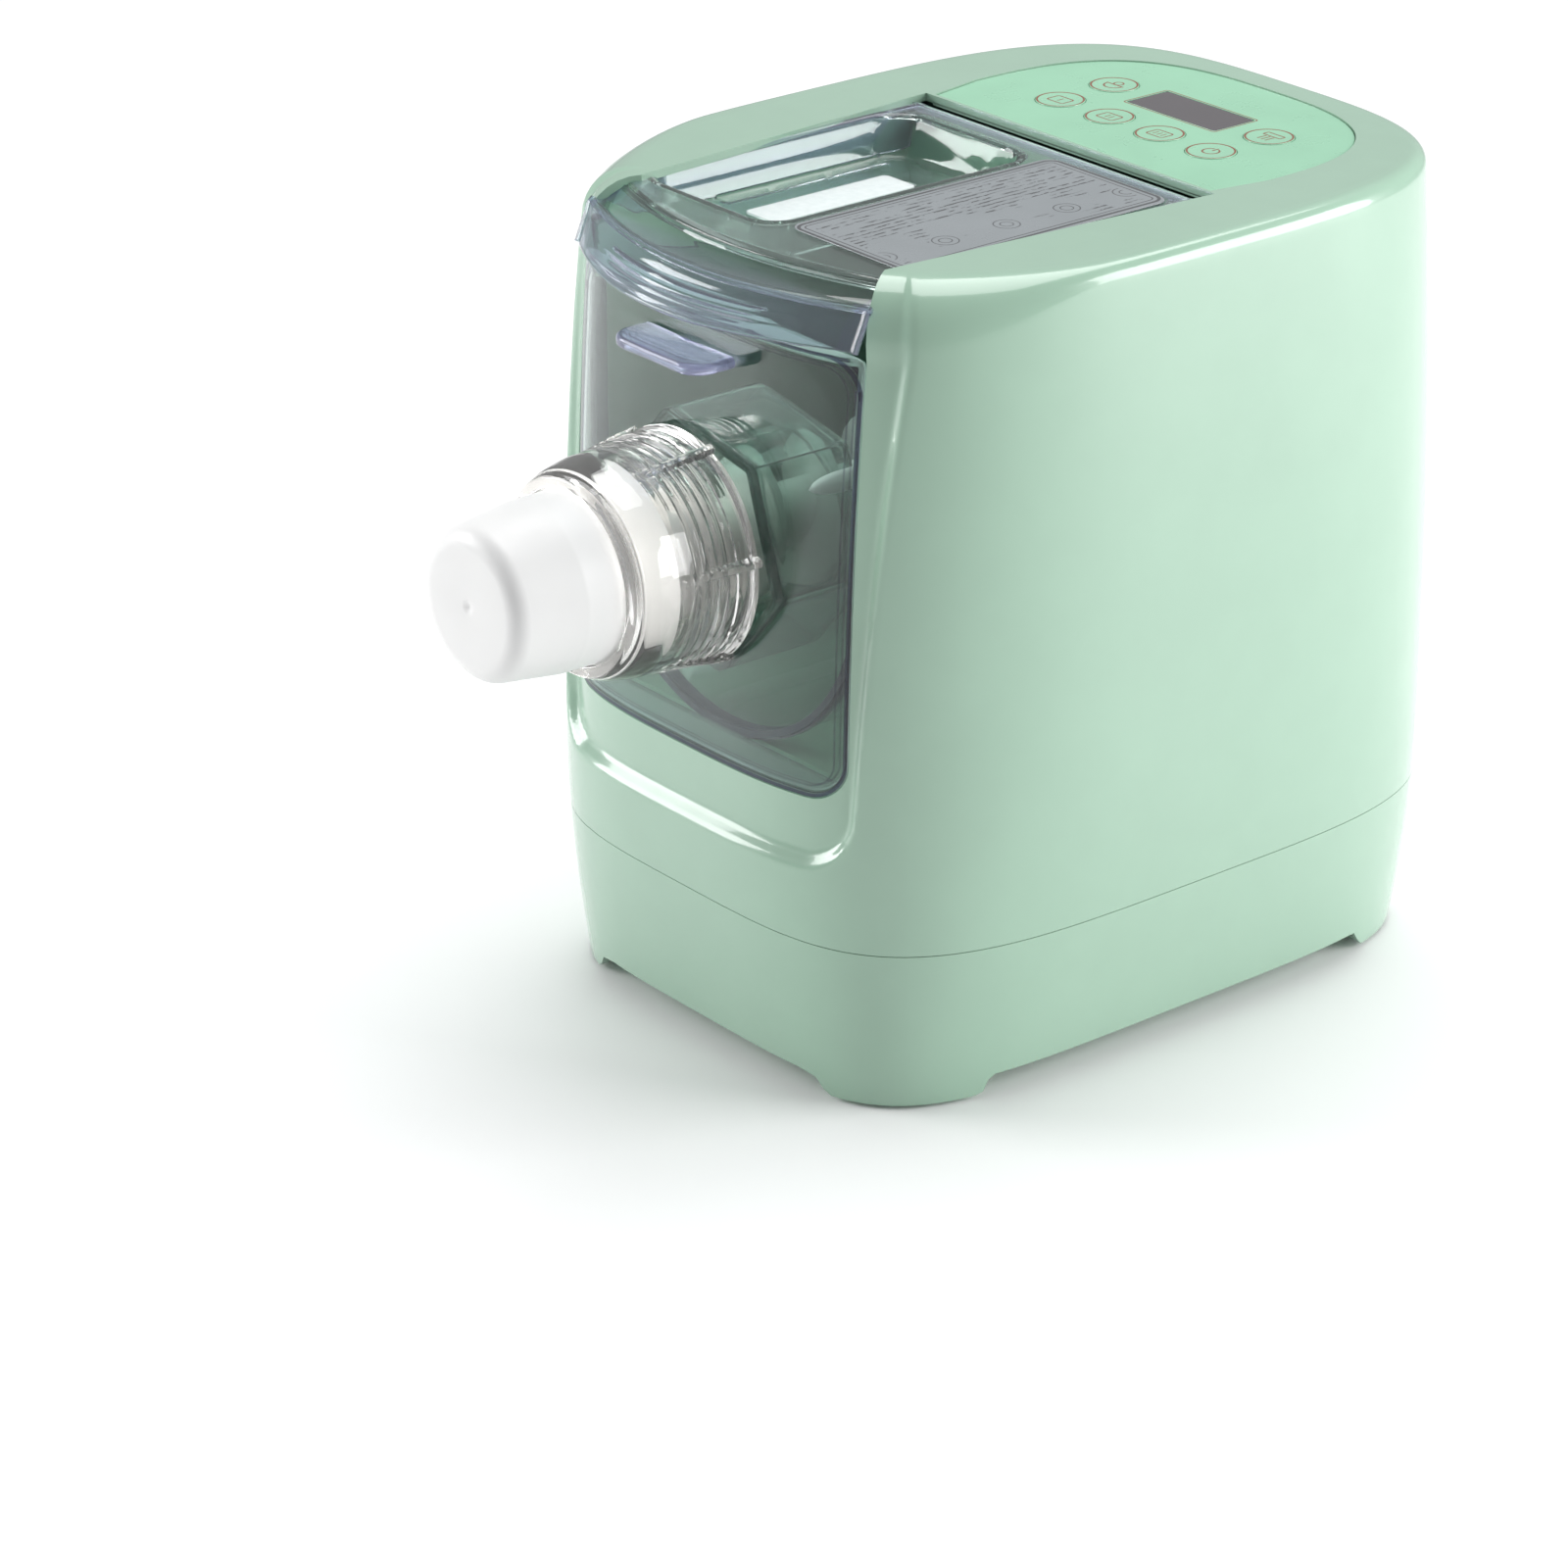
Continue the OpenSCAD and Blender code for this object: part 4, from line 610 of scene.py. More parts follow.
def shade(colour, factor):
    """The colour made darker or lighter."""
    return tuple(min(c * factor, 1) for c in colour[:3]) + (1,)


def moulded(name, colour, rough=0.25, coat=0.0, grain=0.05, spread=0.03, marks=None, ink=None):
    """Moulded plastic: a slow drift of colour, an uneven gloss and a fine orange peel; marks(look) says where it is
    printed in ink."""
    look = Look(name)
    base = look.blend(look.between(look.noise(35, 3), 0.3, 0.7), shade(colour, 1 - spread), shade(colour, 1 + spread))
    gloss = look.between(look.noise(14, 4), 0.25, 0.75, rough * 0.85, rough * 1.2)
    if marks is not None:
        base = look.blend(marks(look), base, ink)
    return look.done(look.solid(Base_Color=base, Roughness=gloss, Coat_Weight=coat, Coat_Roughness=0.06,
                                Normal=look.bump(look.noise(0.6, 2), 0.25, grain)))


def see_through(name, tint, edge, rough=0.03, milk=0.06, band=None, band_tint=None, frost=None):
    """Clear plastic: refracts, goes over to the edge tint where it is seen edge on and to the band tint where band
    says, holds a little milk, lets lamps through and has faint flow lines; frost says where it is frosted white."""
    look = Look(name)
    colour, cloud = tint, milk
    if band is not None:
        strip = band(look)
        colour, cloud = look.blend(strip, tint, band_tint), strip * 0.08 + milk
    share = look.between(look.add("ShaderNodeLayerWeight", {}, {"Blend": 0.3}, out="Facing"), 0.6, 1.0, 0.0, 0.75)
    colour = look.blend(share, colour, edge)
    haze = look.between(look.noise(5, 4), 0.3, 0.8, rough * 0.6, rough * 1.6)
    normal = look.bump(look.noise(9, 2), 0.15, 0.02)
    pane = look.solid(Base_Color=colour, Roughness=haze, IOR=1.49, Transmission_Weight=1.0, Normal=normal)
    pane = look.mix(cloud, pane, look.solid(Base_Color=colour, Roughness=haze, Normal=normal))
    if frost is not None:
        white = look.blend(look.noise(3, 3), tone(214, 222, 222), tone(240, 244, 244))
        pane = look.mix(frost(look), pane, look.solid(Base_Color=white, Roughness=0.5))
    through = look.add("ShaderNodeBsdfTransparent", {}, {"Color": tuple(c ** 0.5 for c in tint[:3]) + (1,)})
    return look.done(look.mix(look.add("ShaderNodeLightPath", out="Is Shadow Ray"), pane, through))


def brushed_steel(name, colour, rough=0.3):
    """Turned or drawn metal: fine lines along Y."""
    look = Look(name)
    stretched = look.add("ShaderNodeMapping", {}, {0: look.place(), "Scale": (1, 0.08, 1)})
    lines = look.noise(0.5, 4, stretched)
    return look.done(look.solid(Base_Color=look.blend(lines, shade(colour, 0.86), colour), Metallic=1.0,
                                Roughness=look.between(lines, 0.2, 0.8, rough * 0.7, rough * 1.3),
                                Normal=look.bump(lines, 0.2, 0.02)))


def key_marks(node):
    """A key's print: a ring, and inside it a cup frame with one to three bars, an on-off sign, a ball of dough in a
    bowl, or three strands under a bar."""
    def marks(look):
        x, y = (look.place(axis, (*KEYS[node], 0)) for axis in "XY")
        r = (x ** 2 + y ** 2) ** 0.5
        sign = look.stroke(r - 8.1, 0.7)
        if node == "power_key":
            gap = look.between(abs(x), 0.7, 1.0) | look.between(y, -0.4, 0.4, 1.0, 0.0)
            sign = sign | look.stroke(r - 2.9, 0.65) * gap | look.stroke(x, 0.65) * look.stroke(y - 2.2, 3.2)
        elif node == "knead_key":
            sign = sign | look.stroke(r - 3.6, 0.65) * look.between(y, 0.2, 0.6, 1.0, 0.0)
            sign = sign | look.stroke(y - 0.4, 0.65) * look.stroke(x, 8.4)
            ball = (x ** 2 + (y - 2.2) ** 2) ** 0.5
            sign = sign | look.stroke(ball - 1.7, 0.6) * look.between(y, 0.4, 0.9)
        elif node == "extrude_key":
            sign = sign | look.stroke(look.frame(x, y - 2.4, 4.0, 1.3, 0.5), 0.6)
            strands = look.stroke((abs(x) + 0.9) % 1.8 - 0.9, 0.6)
            sign = sign | strands * look.stroke(x, 5.2) * look.stroke(y + 1.6, 4.4)
        else:
            count = 1 + ("one_cup_key", "two_cup_key", "three_cup_key").index(node)
            sign = sign | look.stroke(look.frame(x, y, 3.9, 2.9, 1.0), 0.6)
            step = 1.9
            bars = look.stroke((x + step * (count % 2) / 2) % step - step / 2, 0.5)
            sign = sign | bars * look.stroke(x, step * count - 0.6) * look.stroke(y, 3.0)
        return sign
    return marks


def display_border(look):
    """A thin line round the display."""
    return look.stroke(look.frame(look.place("X"), look.place("Y", (0, 84, 0)), 22.6, 10.4, 1.2), 0.5)


def label_marks(look):
    """The lid's print: two fine frames, rows of plain dashes and a column of small ring signs."""
    x, y = look.place("X", (35.5, -42.5, 0)), look.place("Y", (35.5, -42.5, 0))
    edge = look.frame(x, y, 29, 57.5, 6)
    inside = look.between(edge, -6.2, -5.6, 1.0, 0.0)
    row = (x + 30) % 2.7 - 1.35
    bend = look.add("ShaderNodeMapping", {}, {0: look.place(), "Scale": (4.1, 0.9, 1)})
    worn = look.between(look.noise(3.2, 2, bend), 0.46, 0.52)
    part = look.between(x, -1.5, -1.0, 1.0, 0.0)
    gaps = look.between(look.noise(22, 1, bend), 0.4, 0.44)
    dashes = look.stroke(row, 1.0, 0.2) * worn * gaps * inside * (part | look.between(look.noise(16, 1), 0.52, 0.56))
    ring = ((x - 14) ** 2 + ((y + 300) % 26 - 13) ** 2) ** 0.5
    signs = (look.stroke(ring - 4.4, 0.4) | look.stroke(ring - 2.2, 0.4)) * inside
    clear = look.between(ring, 5.2, 5.8)
    return (look.stroke(edge + 1.7, 1.2) | look.stroke(edge + 3.8, 0.5) | signs | dashes * clear) * 0.8


def lid_band(look):
    """The lid's thick border and its lip."""
    x, y, z = abs(look.place("X")), look.place("Y"), look.place("Z")
    sides = look.between(x, 66.9, 67.4) * 0.7 | look.stroke(x - 66.4, 1.0)
    rear = look.between(y, 16.5, 17.2) * 0.7 | look.stroke(y - 16.2, 0.8)
    lip = look.between(z, 276.5, 278.5, 0.6, 0.0) * look.between(y, -124, -120, 1.0, 0.0)
    return sides | rear | lip


def window_edge(look):
    """Two fine dark lines round the window, at its edge and just inside it."""
    edge = look.frame(look.place("X"), look.place("Z", (0, 0, 186)), 71.5, 75.5, 13.5)
    return look.stroke(edge + 0.6, 1.6, 0.2) | look.stroke(edge + 4.2, 0.7, 0.2) * 0.7


def tab_lines(look):
    """Two fine lines inside the tab's outline."""
    edge = look.frame(look.place("X"), look.place("Y", (0, -137, 0)), 23, 14, 11)
    return (look.stroke(edge + 3.4, 0.5) | look.stroke(edge + 5.4, 0.4) | look.stroke(edge + 0.5, 0.9)) * 0.8


def basin_frost(look):
    """A frosted strip on the basin's floor."""
    x, y, z = look.place("X", (-38, 0, 0)), look.place("Y", (0, -44, 0)), look.place("Z", (0, 0, 269))
    strip = look.between(look.frame(x, y, 8.5, 31, 2.5), -0.8, 0.3, 0.85, 0.0)
    return strip * look.between(abs(z), 1.5, 3.5, 1.0, 0.0)


LOOKS = {}


def make_looks(c):
    """Makes every finish, by the names of the material slots and of the pieces that have their own."""
    LOOKS.update({
        "housing_plastic": moulded("Mint housing plastic", c.mint, 0.22, 0.7, 0.02, 0.015),
        "smoke_plastic": see_through("Smoke plastic", c.smoke, shade(c.smoke, 0.55), 0.03, milk=0.055),
        "smoke_rim": see_through("Smoke plastic rim", c.smoke, shade(c.smoke, 0.8), 0.05, milk=0.42),
        "dark_rim": see_through("Dark rim", c.rim, c.rim, 0.1, milk=0.6),
        "window_plastic": see_through("Window plastic", shade(c.smoke, 0.88), c.rim, 0.03, milk=0.012,
                                      band=window_edge, band_tint=c.rim),
        "lid_plastic": see_through("Lid plastic", c.smoke, c.rim, 0.03, milk=0.035,
                                   band=lid_band, band_tint=c.lip, frost=basin_frost),
        "lid_rim": see_through("Lid rim", c.lip, c.rim, 0.05, milk=0.16),
        "tab_plastic": see_through("Tab plastic", c.lip, c.rim, 0.05, milk=0.2,
                                   band=tab_lines, band_tint=shade(c.lip, 0.4)),
        "clear_plastic": see_through("Clear plastic", c.clear, c.clear_rim, 0.02, milk=0.03),
        "white_plastic": moulded("White plastic", c.white, 0.42, 0.0, 0.05, 0.01),
        "grey_plastic": moulded("Grey plastic", tone(150, 156, 154), 0.4),
        "film": moulded("Panel film", c.film, 0.3, 0.1, 0.01, marks=display_border, ink=c.print),
        **{node: moulded("Print of " + node, c.film, 0.28, 0.15, 0.01, marks=key_marks(node), ink=c.print)
           for node in KEYS},
        "display_plastic": moulded("Display plastic", c.display, 0.14, 0.3),
        "black_plastic": moulded("Black plastic", tone(34, 34, 36), 0.4),
        "circuit_board": moulded("Circuit board", tone(26, 92, 52), 0.35, 0.2),
        "label_plastic": moulded("Lid label", c.label, 0.25, 0.3, 0.01, marks=label_marks, ink=tone(36, 36, 40)),
        # the bay's walls take the housing mint painted 8% lighter: painted light that brightens the shaded inside of
        # the bay
        "bay_plastic": moulded("Bay plastic", shade(c.mint, 1.08), 0.35, 0.1, 0.03, 0.02),
        "seal_rubber": moulded("Seal rubber", tone(50, 48, 74), 0.45, 0.0, 0.05),
        "soft_rubber": moulded("Foot rubber", tone(52, 52, 54), 0.7, 0.0, 0.1),
        "machined_steel": brushed_steel("Machined steel", tone(196, 197, 200)),
        "winding_copper": brushed_steel("Winding copper", tone(196, 120, 74), 0.35),
    })


# ---------------------------------------------------------------- sizes and colours


def length(name, text, millimetres):
    """A length that a user may change, given in millimetres."""
    return bpy.props.FloatProperty(name=name, description=text, default=millimetres / 1000, unit="LENGTH")


def plain(name, text, value):
    """A plain number that a user may change."""
    return bpy.props.FloatProperty(name=name, description=text, default=value)


def colour(name, text, *rgb):
    """A colour that a user may change, given in display values."""
    return bpy.props.FloatVectorProperty(name=name, description=text, default=tone(*rgb), size=4, min=0, max=1,
                                         subtype="COLOR")


class BodySizes(bpy.types.PropertyGroup):
    """Sizes of the housing and the base"""
    height: length("Height", "Height of the body above the table", 1000 * HOUSING_HI[2])
    width: length("Width", "Width of the body at its waist", 1000 * (HOUSING_HI[0] - HOUSING_LO[0]))
    depth: length("Depth", "Depth of the body at its waist", BODY_DEPTH)
    waist: length("Waist height", "Height of the widest level", 100)
    squareness: plain("Squareness", "How square the body is seen from above", 3.4)
    wall: length("Wall", "Thickness of the housing's wall", 2.8)
    seam: length("Seam height", "Height of the seam between base and housing", 59)
    nose_radius: length("Nose radius", "Radius of the top edge at the front", 19)
    edge_radius: length("Edge radius", "Radius of the top edge at the sides and the back", 5.5)
    panel_depth: length("Panel depth", "Depth of the sunk front panel", 4.5)
    panel_low: length("Panel height", "Height of the sunk panel's lower edge", 89)
    bay_back: length("Bay rear", "Rear edge of the opening in the top", 26.9)
    skirt: length("Skirt height", "Height of the base's lower edge between its feet", 8)


class PanelSizes(bpy.types.PropertyGroup):
    """Sizes of the panel's film and keys"""
    film_half: length("Film half width", "Half the width of the panel film", 72.6)
    film_front: length("Film front", "Front edge of the film", 28.5)
    film_back: length("Film rear", "Rear edge of the film", 121)
    film_power: plain("Film squareness", "How square the film's rear is", 2.9)
    film_share: plain("Front share", "Width of the film's front edge against its widest", 0.945)
    key_radius: length("Key radius", "Radius of a key", 8.7)


class LidSizes(bpy.types.PropertyGroup):
    """Sizes of the lid"""
    half_width: length("Half width", "Half the width of the lid", 71.4)
    top: length("Top", "Height of the lid's level top", 283.2)
    wall: length("Wall", "Thickness of the lid", 2.4)
    ridge: length("Ridge", "Where the level top ends in front", -122)
    ridge_sag: length("Ridge sag", "How far the ridge falls back at the sides", 15)
    root: length("Lip root", "Where the lip begins", -136)
    root_sag: length("Root sag", "How far the lip's root falls back at the sides", 17)
    root_height: length("Root height", "Height of the lip's root", 277.5)
    lip: length("Lip", "Front edge of the lip", -149)
    lip_sag: length("Lip sag", "How far the lip's edge falls back at the sides", 24)
    lip_height: length("Lip height", "Height of the lip's lower edge", 265.2)
    roll: length("Hinge line", "Where the lid turns, front to back", 20.2)
    roll_radius: length("Hinge radius", "Radius of the lid's round rear edge", 5.7)
    skirt: length("Skirt", "Depth of the lid's side skirts", 15.5)
    basin_left: length("Basin left", "Left side of the pouring basin", -66)
    basin_right: length("Basin right", "Right side of the pouring basin", 1)
    basin_front: length("Basin front", "Front of the pouring basin", -102)
    basin_back: length("Basin rear", "Rear of the pouring basin", 11)
    basin_depth: length("Basin depth", "Depth of the pouring basin", 13)


class BaySizes(bpy.types.PropertyGroup):
    """Sizes of window, neck, cup and screw"""
    wall: length("Window wall", "Thickness of the window", 2.8)
    cup_radius: length("Cup radius", "Inner radius of the mixing cup", 67.4)
    cup_wall: length("Cup wall", "Thickness of the mixing cup", 2.4)
    cup_front: length("Cup front", "Front edge of the mixing cup", -120)
    cup_back: length("Cup rear", "Inner face of the cup's rear wall", 17)
    cup_rim: length("Cup rim", "Height of the cup's rim", 250.2)
    neck_radius: length("Neck radius", "Corner radius of the six-sided neck", 44.5)
    neck_back: length("Neck rear", "Rear end of the neck", -92)
    bar_radius: length("Bar distance", "Distance of the mixing bars from the axis", 54)
    screw_radius: length("Screw radius", "Outer radius of the screw", 24.5)
    screw_pitch: length("Screw pitch", "Pitch of the screw", 27)


class NozzleSizes(bpy.types.PropertyGroup):
    """Sizes of the locking collar and the white nozzle"""
    collar_front: length("Collar front", "Front face of the locking collar", -185)
    collar_back: length("Collar rear", "Rear face of the locking collar", -138)
    rim_radius: length("Rim radius", "Radius of the collar's rear rim", 40.5)
    ring_radius: length("Ring radius", "Radius of the collar's front ring", 34.7)
    cap_radius: length("Cap radius", "Radius of the white nozzle", 29)
    cap_front: length("Cap front", "Front face of the white nozzle", -224.5)
    hole_radius: length("Hole radius", "Radius of a noodle hole", 1.7)
    hole_pitch: length("Hole pitch", "Distance between noodle holes", 5.2)


class Colours(bpy.types.PropertyGroup):
    """Colours and tints"""
    mint: colour("Mint", "Colour of the housing", 154, 186, 165)
    film: colour("Film mint", "Colour of the panel film", 146, 196, 166)
    print: colour("Print", "Colour of the panel's print", 130, 76, 52)
    white: colour("White", "Colour of nozzle, screw and paddle", 230, 230, 229)
    smoke: colour("Smoke", "Tint of window, lid and cup", 214, 229, 224)
    lip: colour("Lip", "Tint of the lid's border and lip", 198, 200, 224)
    rim: colour("Rim", "Tint of their thick edges", 62, 66, 98)
    clear: colour("Clear", "Tint of the collar and the barrel", 251, 250, 248)
    clear_rim: colour("Clear edge", "Tint of the collar where it is seen edge on", 150, 120, 100)
    display: colour("Display", "Colour of the display", 84, 80, 83)
    label: colour("Label", "Colour of the lid's label", 138, 144, 147)


GROUPS = {"body": BodySizes, "panel": PanelSizes, "lid": LidSizes, "bay": BaySizes, "nozzle": NozzleSizes,
          "colours": Colours}


class Sizes:
    """A property group's values, with its lengths in millimetres."""

    def __init__(self, name):
        group = getattr(bpy.context.scene, "pasta_" + name)
        for key in GROUPS[name].__annotations__:
            value = getattr(group, key)
            if group.bl_rna.properties[key].unit == "LENGTH":
                value = round(value * 1000, 4)
            setattr(self, key, tuple(value) if hasattr(value, "__len__") else value)


# ---------------------------------------------------------------- the pieces


class Builder:
    """What all operators share."""
    bl_options = {"REGISTER", "UNDO"}


class PASTA_OT_finishes(Builder, bpy.types.Operator):
    """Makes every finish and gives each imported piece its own"""
    bl_idname = "pasta.finishes"
    bl_label = "Finishes"

    def execute(self, context):
        make_looks(Sizes("colours"))
        rubber = ("cover_gasket", "shaft_seal")
        for node, item in frame["nodes"].items():
            item.data.materials.clear()
            item.data.materials.append(LOOKS["seal_rubber" if node in rubber else SLOTS[node]])
        return {"FINISHED"}


class PASTA_OT_housing(Builder, bpy.types.Operator):
    """Makes the housing's outer shell with its sunk front panel and the roof under the film"""
    bl_idname = "pasta.housing"
    bl_label = "Housing"

    def execute(self, context):
        b = Sizes("body")
        p = Sizes("panel")
        vents = [prism(rectangle(9 * k - 1.5, 72, 9 * k + 1.5, 124, 1.4), b.depth / 4, b.depth, "Y")
                 for k in range(-4, 5)]
        make("housing_shell", housing_sheets(b, p), ["housing_plastic"], "housing", ["upper_housing"], wall=b.wall,
             cuts=vents)
        roof = slab(dense(film_outline(p, 1.6), 3), TOP_LEVEL - 1.8, TOP_LEVEL - 0.5, 0.2)
        make("panel_roof", [sheet(roof, True)], ["housing_plastic"], "housing")
        return {"FINISHED"}


class PASTA_OT_base(Builder, bpy.types.Operator):
    """Makes the base shell: its underside, its four feet and its side up to the seam"""
    bl_idname = "pasta.base"
    bl_label = "Base"

    def execute(self, context):
        b = Sizes("body")

        def low(x, y):
            """Height of the underside: a foot where both distances from the middle are large."""
            return b.skirt - (b.skirt - 1) * ramp(np.abs(x), 56, 63) * ramp(np.abs(y), 84, 91)

        x, y, _, _ = plan(b, np.full((1, COLUMNS), b.skirt))
        z = low(x, y)
        z = z + (b.seam - SEAM_GAP - z) * np.linspace(0, 1, 40)[:, None]
        side = both_halves(wall(b, z))
        flat = side[0, :, :2] * np.linspace(0, 1, 70)[:-1, None, None]
        under = np.concatenate([flat, low(flat[..., :1], flat[..., 1:])], -1)
        vents = [prism(rectangle(10 * k - 1.5, 30, 10 * k + 1.5, 64, 1.4), -1, 14) for k in range(-3, 4)]
        holes = [prism(circle(x * 84, y * 62, 3.8), -1, 14) for x in (-1, 1) for y in (-1, 1)]
        inlet = [prism(rectangle(-23.2, 21.8, 23.2, 46.2, 2), 120, 160, "Y")]
        make("base_skirt", [sheet(np.concatenate([under, side]), True)], ["housing_plastic"], "housing",
             ["base_shell"], wall=b.wall, cuts=vents + holes + inlet)
        return {"FINISHED"}


class PASTA_OT_bay(Builder, bpy.types.Operator):
    """Makes the bay round the cup: two side walls, a floor and a rear wall, and the ledge in front of its floor"""
    bl_idname = "pasta.bay"
    bl_label = "Bay"

    def execute(self, context):
        b = Sizes("body")
        half, low, high, back = 72.3, 111.9, 280.6, 19.9
        line = softened([(half, high), (half, low), (-half, low), (-half, high)], [0, 4, 4, 0], 6, closed=False)
        line = spaced(line, np.linspace(0, 1, 161))
        z = line[:, 1]
        front = np.maximum(-117.5, cover_face(b, np.full(len(line), 75.0), z) + 3.4) + 9 * ramp(z, 264, 281)
        grid = [at_depth(line, front + (back - front) * t) for t in np.linspace(0, 1, 24)]
        grid += [grid[-1] * (1 - t, 1, 1) for t in np.linspace(0, 1, 12)[1:]]
        make("bay_walls", [sheet(np.stack(grid))], ["bay_plastic"], "housing", ["bay_liner"], wall=2.4, outwards=True,
             cuts=[shaft_hole()])
        # a ledge under the window closes the gap between the bay's floor and the housing's front
        x = np.linspace(-71, 71, 60)
        ledge = np.concatenate([np.stack([x, cover_face(b, x, 108.0) + 2], -1), [(71, -112), (-71, -112)]])
        ledge = slab(dense(ledge, 2), 107.4, 109.3, 0.3)
        make("sill_ledge", [sheet(ledge, True)], ["housing_plastic"], "housing")
        return {"FINISHED"}


class PASTA_OT_lid(Builder, bpy.types.Operator):
    """Makes the clear lid with its pouring basin and its lip"""
    bl_idname = "pasta.lid"
    bl_label = "Lid"

    def execute(self, context):
        d = Sizes("lid")
        make("clear_lid", [sheet(lid_sheet(d), turned=True)], ["lid_plastic", "lid_rim"], "lid", ["lid"], crease=50,
             wall=d.wall, rim=1)
        return {"FINISHED"}


class PASTA_OT_window(Builder, bpy.types.Operator):
    """Makes the front window: a bowed plate with a rim, a finger tab and a six-sided neck"""
    bl_idname = "pasta.window"
    bl_label = "Window"

    def execute(self, context):
        b = Sizes("body")
        d = Sizes("bay")
        # the plate: lines spread from the barrel's hole to the window's outline, laid on the bowed front
        centre = np.array([0, AXIS_Z])
        away = dense(window_outline(), 2.0) - centre
        t = np.concatenate([np.linspace(0, 0.9, 22), np.linspace(0.92, 1, 6)])[:, None, None]
        hole = 33.3 * unit(away)
        xz = centre + hole + (away - hole) * t
        face = np.stack([xz[..., 0], cover_face(b, xz[..., 0], xz[..., 1]), xz[..., 1]], -1)
        back = np.maximum(-121.5 - face[-1, :, 1:2], 1)
        rim = face[-1] + (0, 1, 0) * (back * np.linspace(0, 1, 5)[:, None, None])
        make("front_window", [sheet(face, True, True), sheet(rim, True, True, 1)], ["window_plastic", "smoke_rim"],
             "cover", ["front_cover"], wall=d.wall, rim=1)
        tab = dense(softened([(-23, -134), (-23, -151), (23, -151), (23, -134)], [0, 12, 12, 0], 10), 1.0)
        tab = slab(tab, 247.5, 251.5, 1.6, 5, (0, -138))
        make("finger_tab", [sheet(tab, True)], ["tab_plastic"], "cover")
        # the neck: a six-sided tube whose rear end turns in to a round hole
        corners = [(d.neck_radius * math.cos(turn), d.neck_radius * math.sin(turn))
                   for turn in math.radians(48.6) + math.pi / 3 * np.arange(6)]
        six = dense(softened(corners, 3, 4), 2.0)
        inner = 27 * unit(six)
        rows = [(six, y) for y in np.linspace(-133, d.neck_back - 1.5, 8)] + [(six * 0.985, d.neck_back - 0.4)]
        rows += [(six * 0.965 * (1 - s) + inner * s, d.neck_back) for s in np.linspace(0, 1, 6)]
        grid = np.stack([at_depth(line + (0, AXIS_Z), y) for line, y in rows])
        make("six_sided_neck", [sheet(grid, True, True)], ["smoke_plastic"], "cover", wall=1.8)
        return {"FINISHED"}


class PASTA_OT_cup(Builder, bpy.types.Operator):
    """Makes the mixing cup: a trough with a round floor, a flanged front edge and a rear wall"""
    bl_idname = "pasta.cup"
    bl_label = "Mixing cup"

    def execute(self, context):
        d = Sizes("bay")
        t = np.linspace(0, np.pi, 72)
        arc = np.stack([d.cup_radius * np.cos(t), AXIS_Z - d.cup_radius * np.sin(t)], -1)
        up = np.linspace(d.cup_rim, AXIS_Z, 14)[:-1]
        right = np.stack([0 * up + d.cup_radius, up], -1)
        line = np.concatenate([right, arc, right[::-1] * (-1, 1)])
        away = line - (0, AXIS_Z)
        away = unit(np.where(line[:, 1:] > AXIS_Z, away * (1, 0), away))
        rows = [(d.cup_front, 1.0), (d.cup_front + 1.2, 1.2), (d.cup_front + 2.4, 0.9), (d.cup_front + 3.2, 0.3)]
        rows += [(y, 0.0) for y in np.linspace(d.cup_front + 4.5, d.cup_back - 5, 30)]
        rows += [(d.cup_back - 5 + 5 * math.sin(a), -5 * (1 - math.cos(a))) for a in np.linspace(0, np.pi / 2, 6)[1:]]
        grid = [at_depth(line + away * grow, y) for y, grow in rows]
        grid += [grid[-1] * (1 - s, 1, 1) for s in np.linspace(0, 1, 16)[1:]]
        flange, trough = sheet(np.stack(grid[:5]), look=1), sheet(np.stack(grid[4:]))
        make("mixing_trough", [flange, trough], ["smoke_plastic", "dark_rim"], "cup", ["mixing_cup"],
             wall=d.cup_wall, outwards=True, rim=1, cuts=[shaft_hole()])
        return {"FINISHED"}


class PASTA_OT_screw(Builder, bpy.types.Operator):
    """Makes the screw: a core, and a flight's section carried round it along a helix"""
    bl_idname = "pasta.screw"
    bl_label = "Screw"

    def execute(self, context):
        d = Sizes("bay")
        front, back = -174.0, -12.0
        core_radius = 10.6
        core = softened([(front, 0), (front, core_radius), (back, core_radius), (back, 0)], [0, 2.5, 0.5, 0], 5,
                        closed=False)
        turns = (back - front - 6.4) / d.screw_pitch
        angle = np.linspace(0, 2 * np.pi * turns, int(72 * turns))[:, None]
        section = softened([(10, -2.9), (d.screw_radius, -1.9), (d.screw_radius, 1.9), (10, 2.9)], [0, 1.1, 1.1, 0], 4)
        r, s = section[:, 0], section[:, 1]
        y = front + 3.2 + d.screw_pitch * angle / (2 * np.pi) + s
        flight = np.stack([r * np.cos(angle), y, AXIS_Z + r * np.sin(angle)], -1)
        ends = [np.broadcast_to(flight[k].mean(0), flight[k].shape) for k in (0, -1)]
        flight = np.concatenate([ends[0][None], flight, ends[1][None]])
        make("screw_flight", [sheet(turned_round(core, 96), True), sheet(flight, True)], ["white_plastic"], "auger",
             ["auger"])
        return {"FINISHED"}


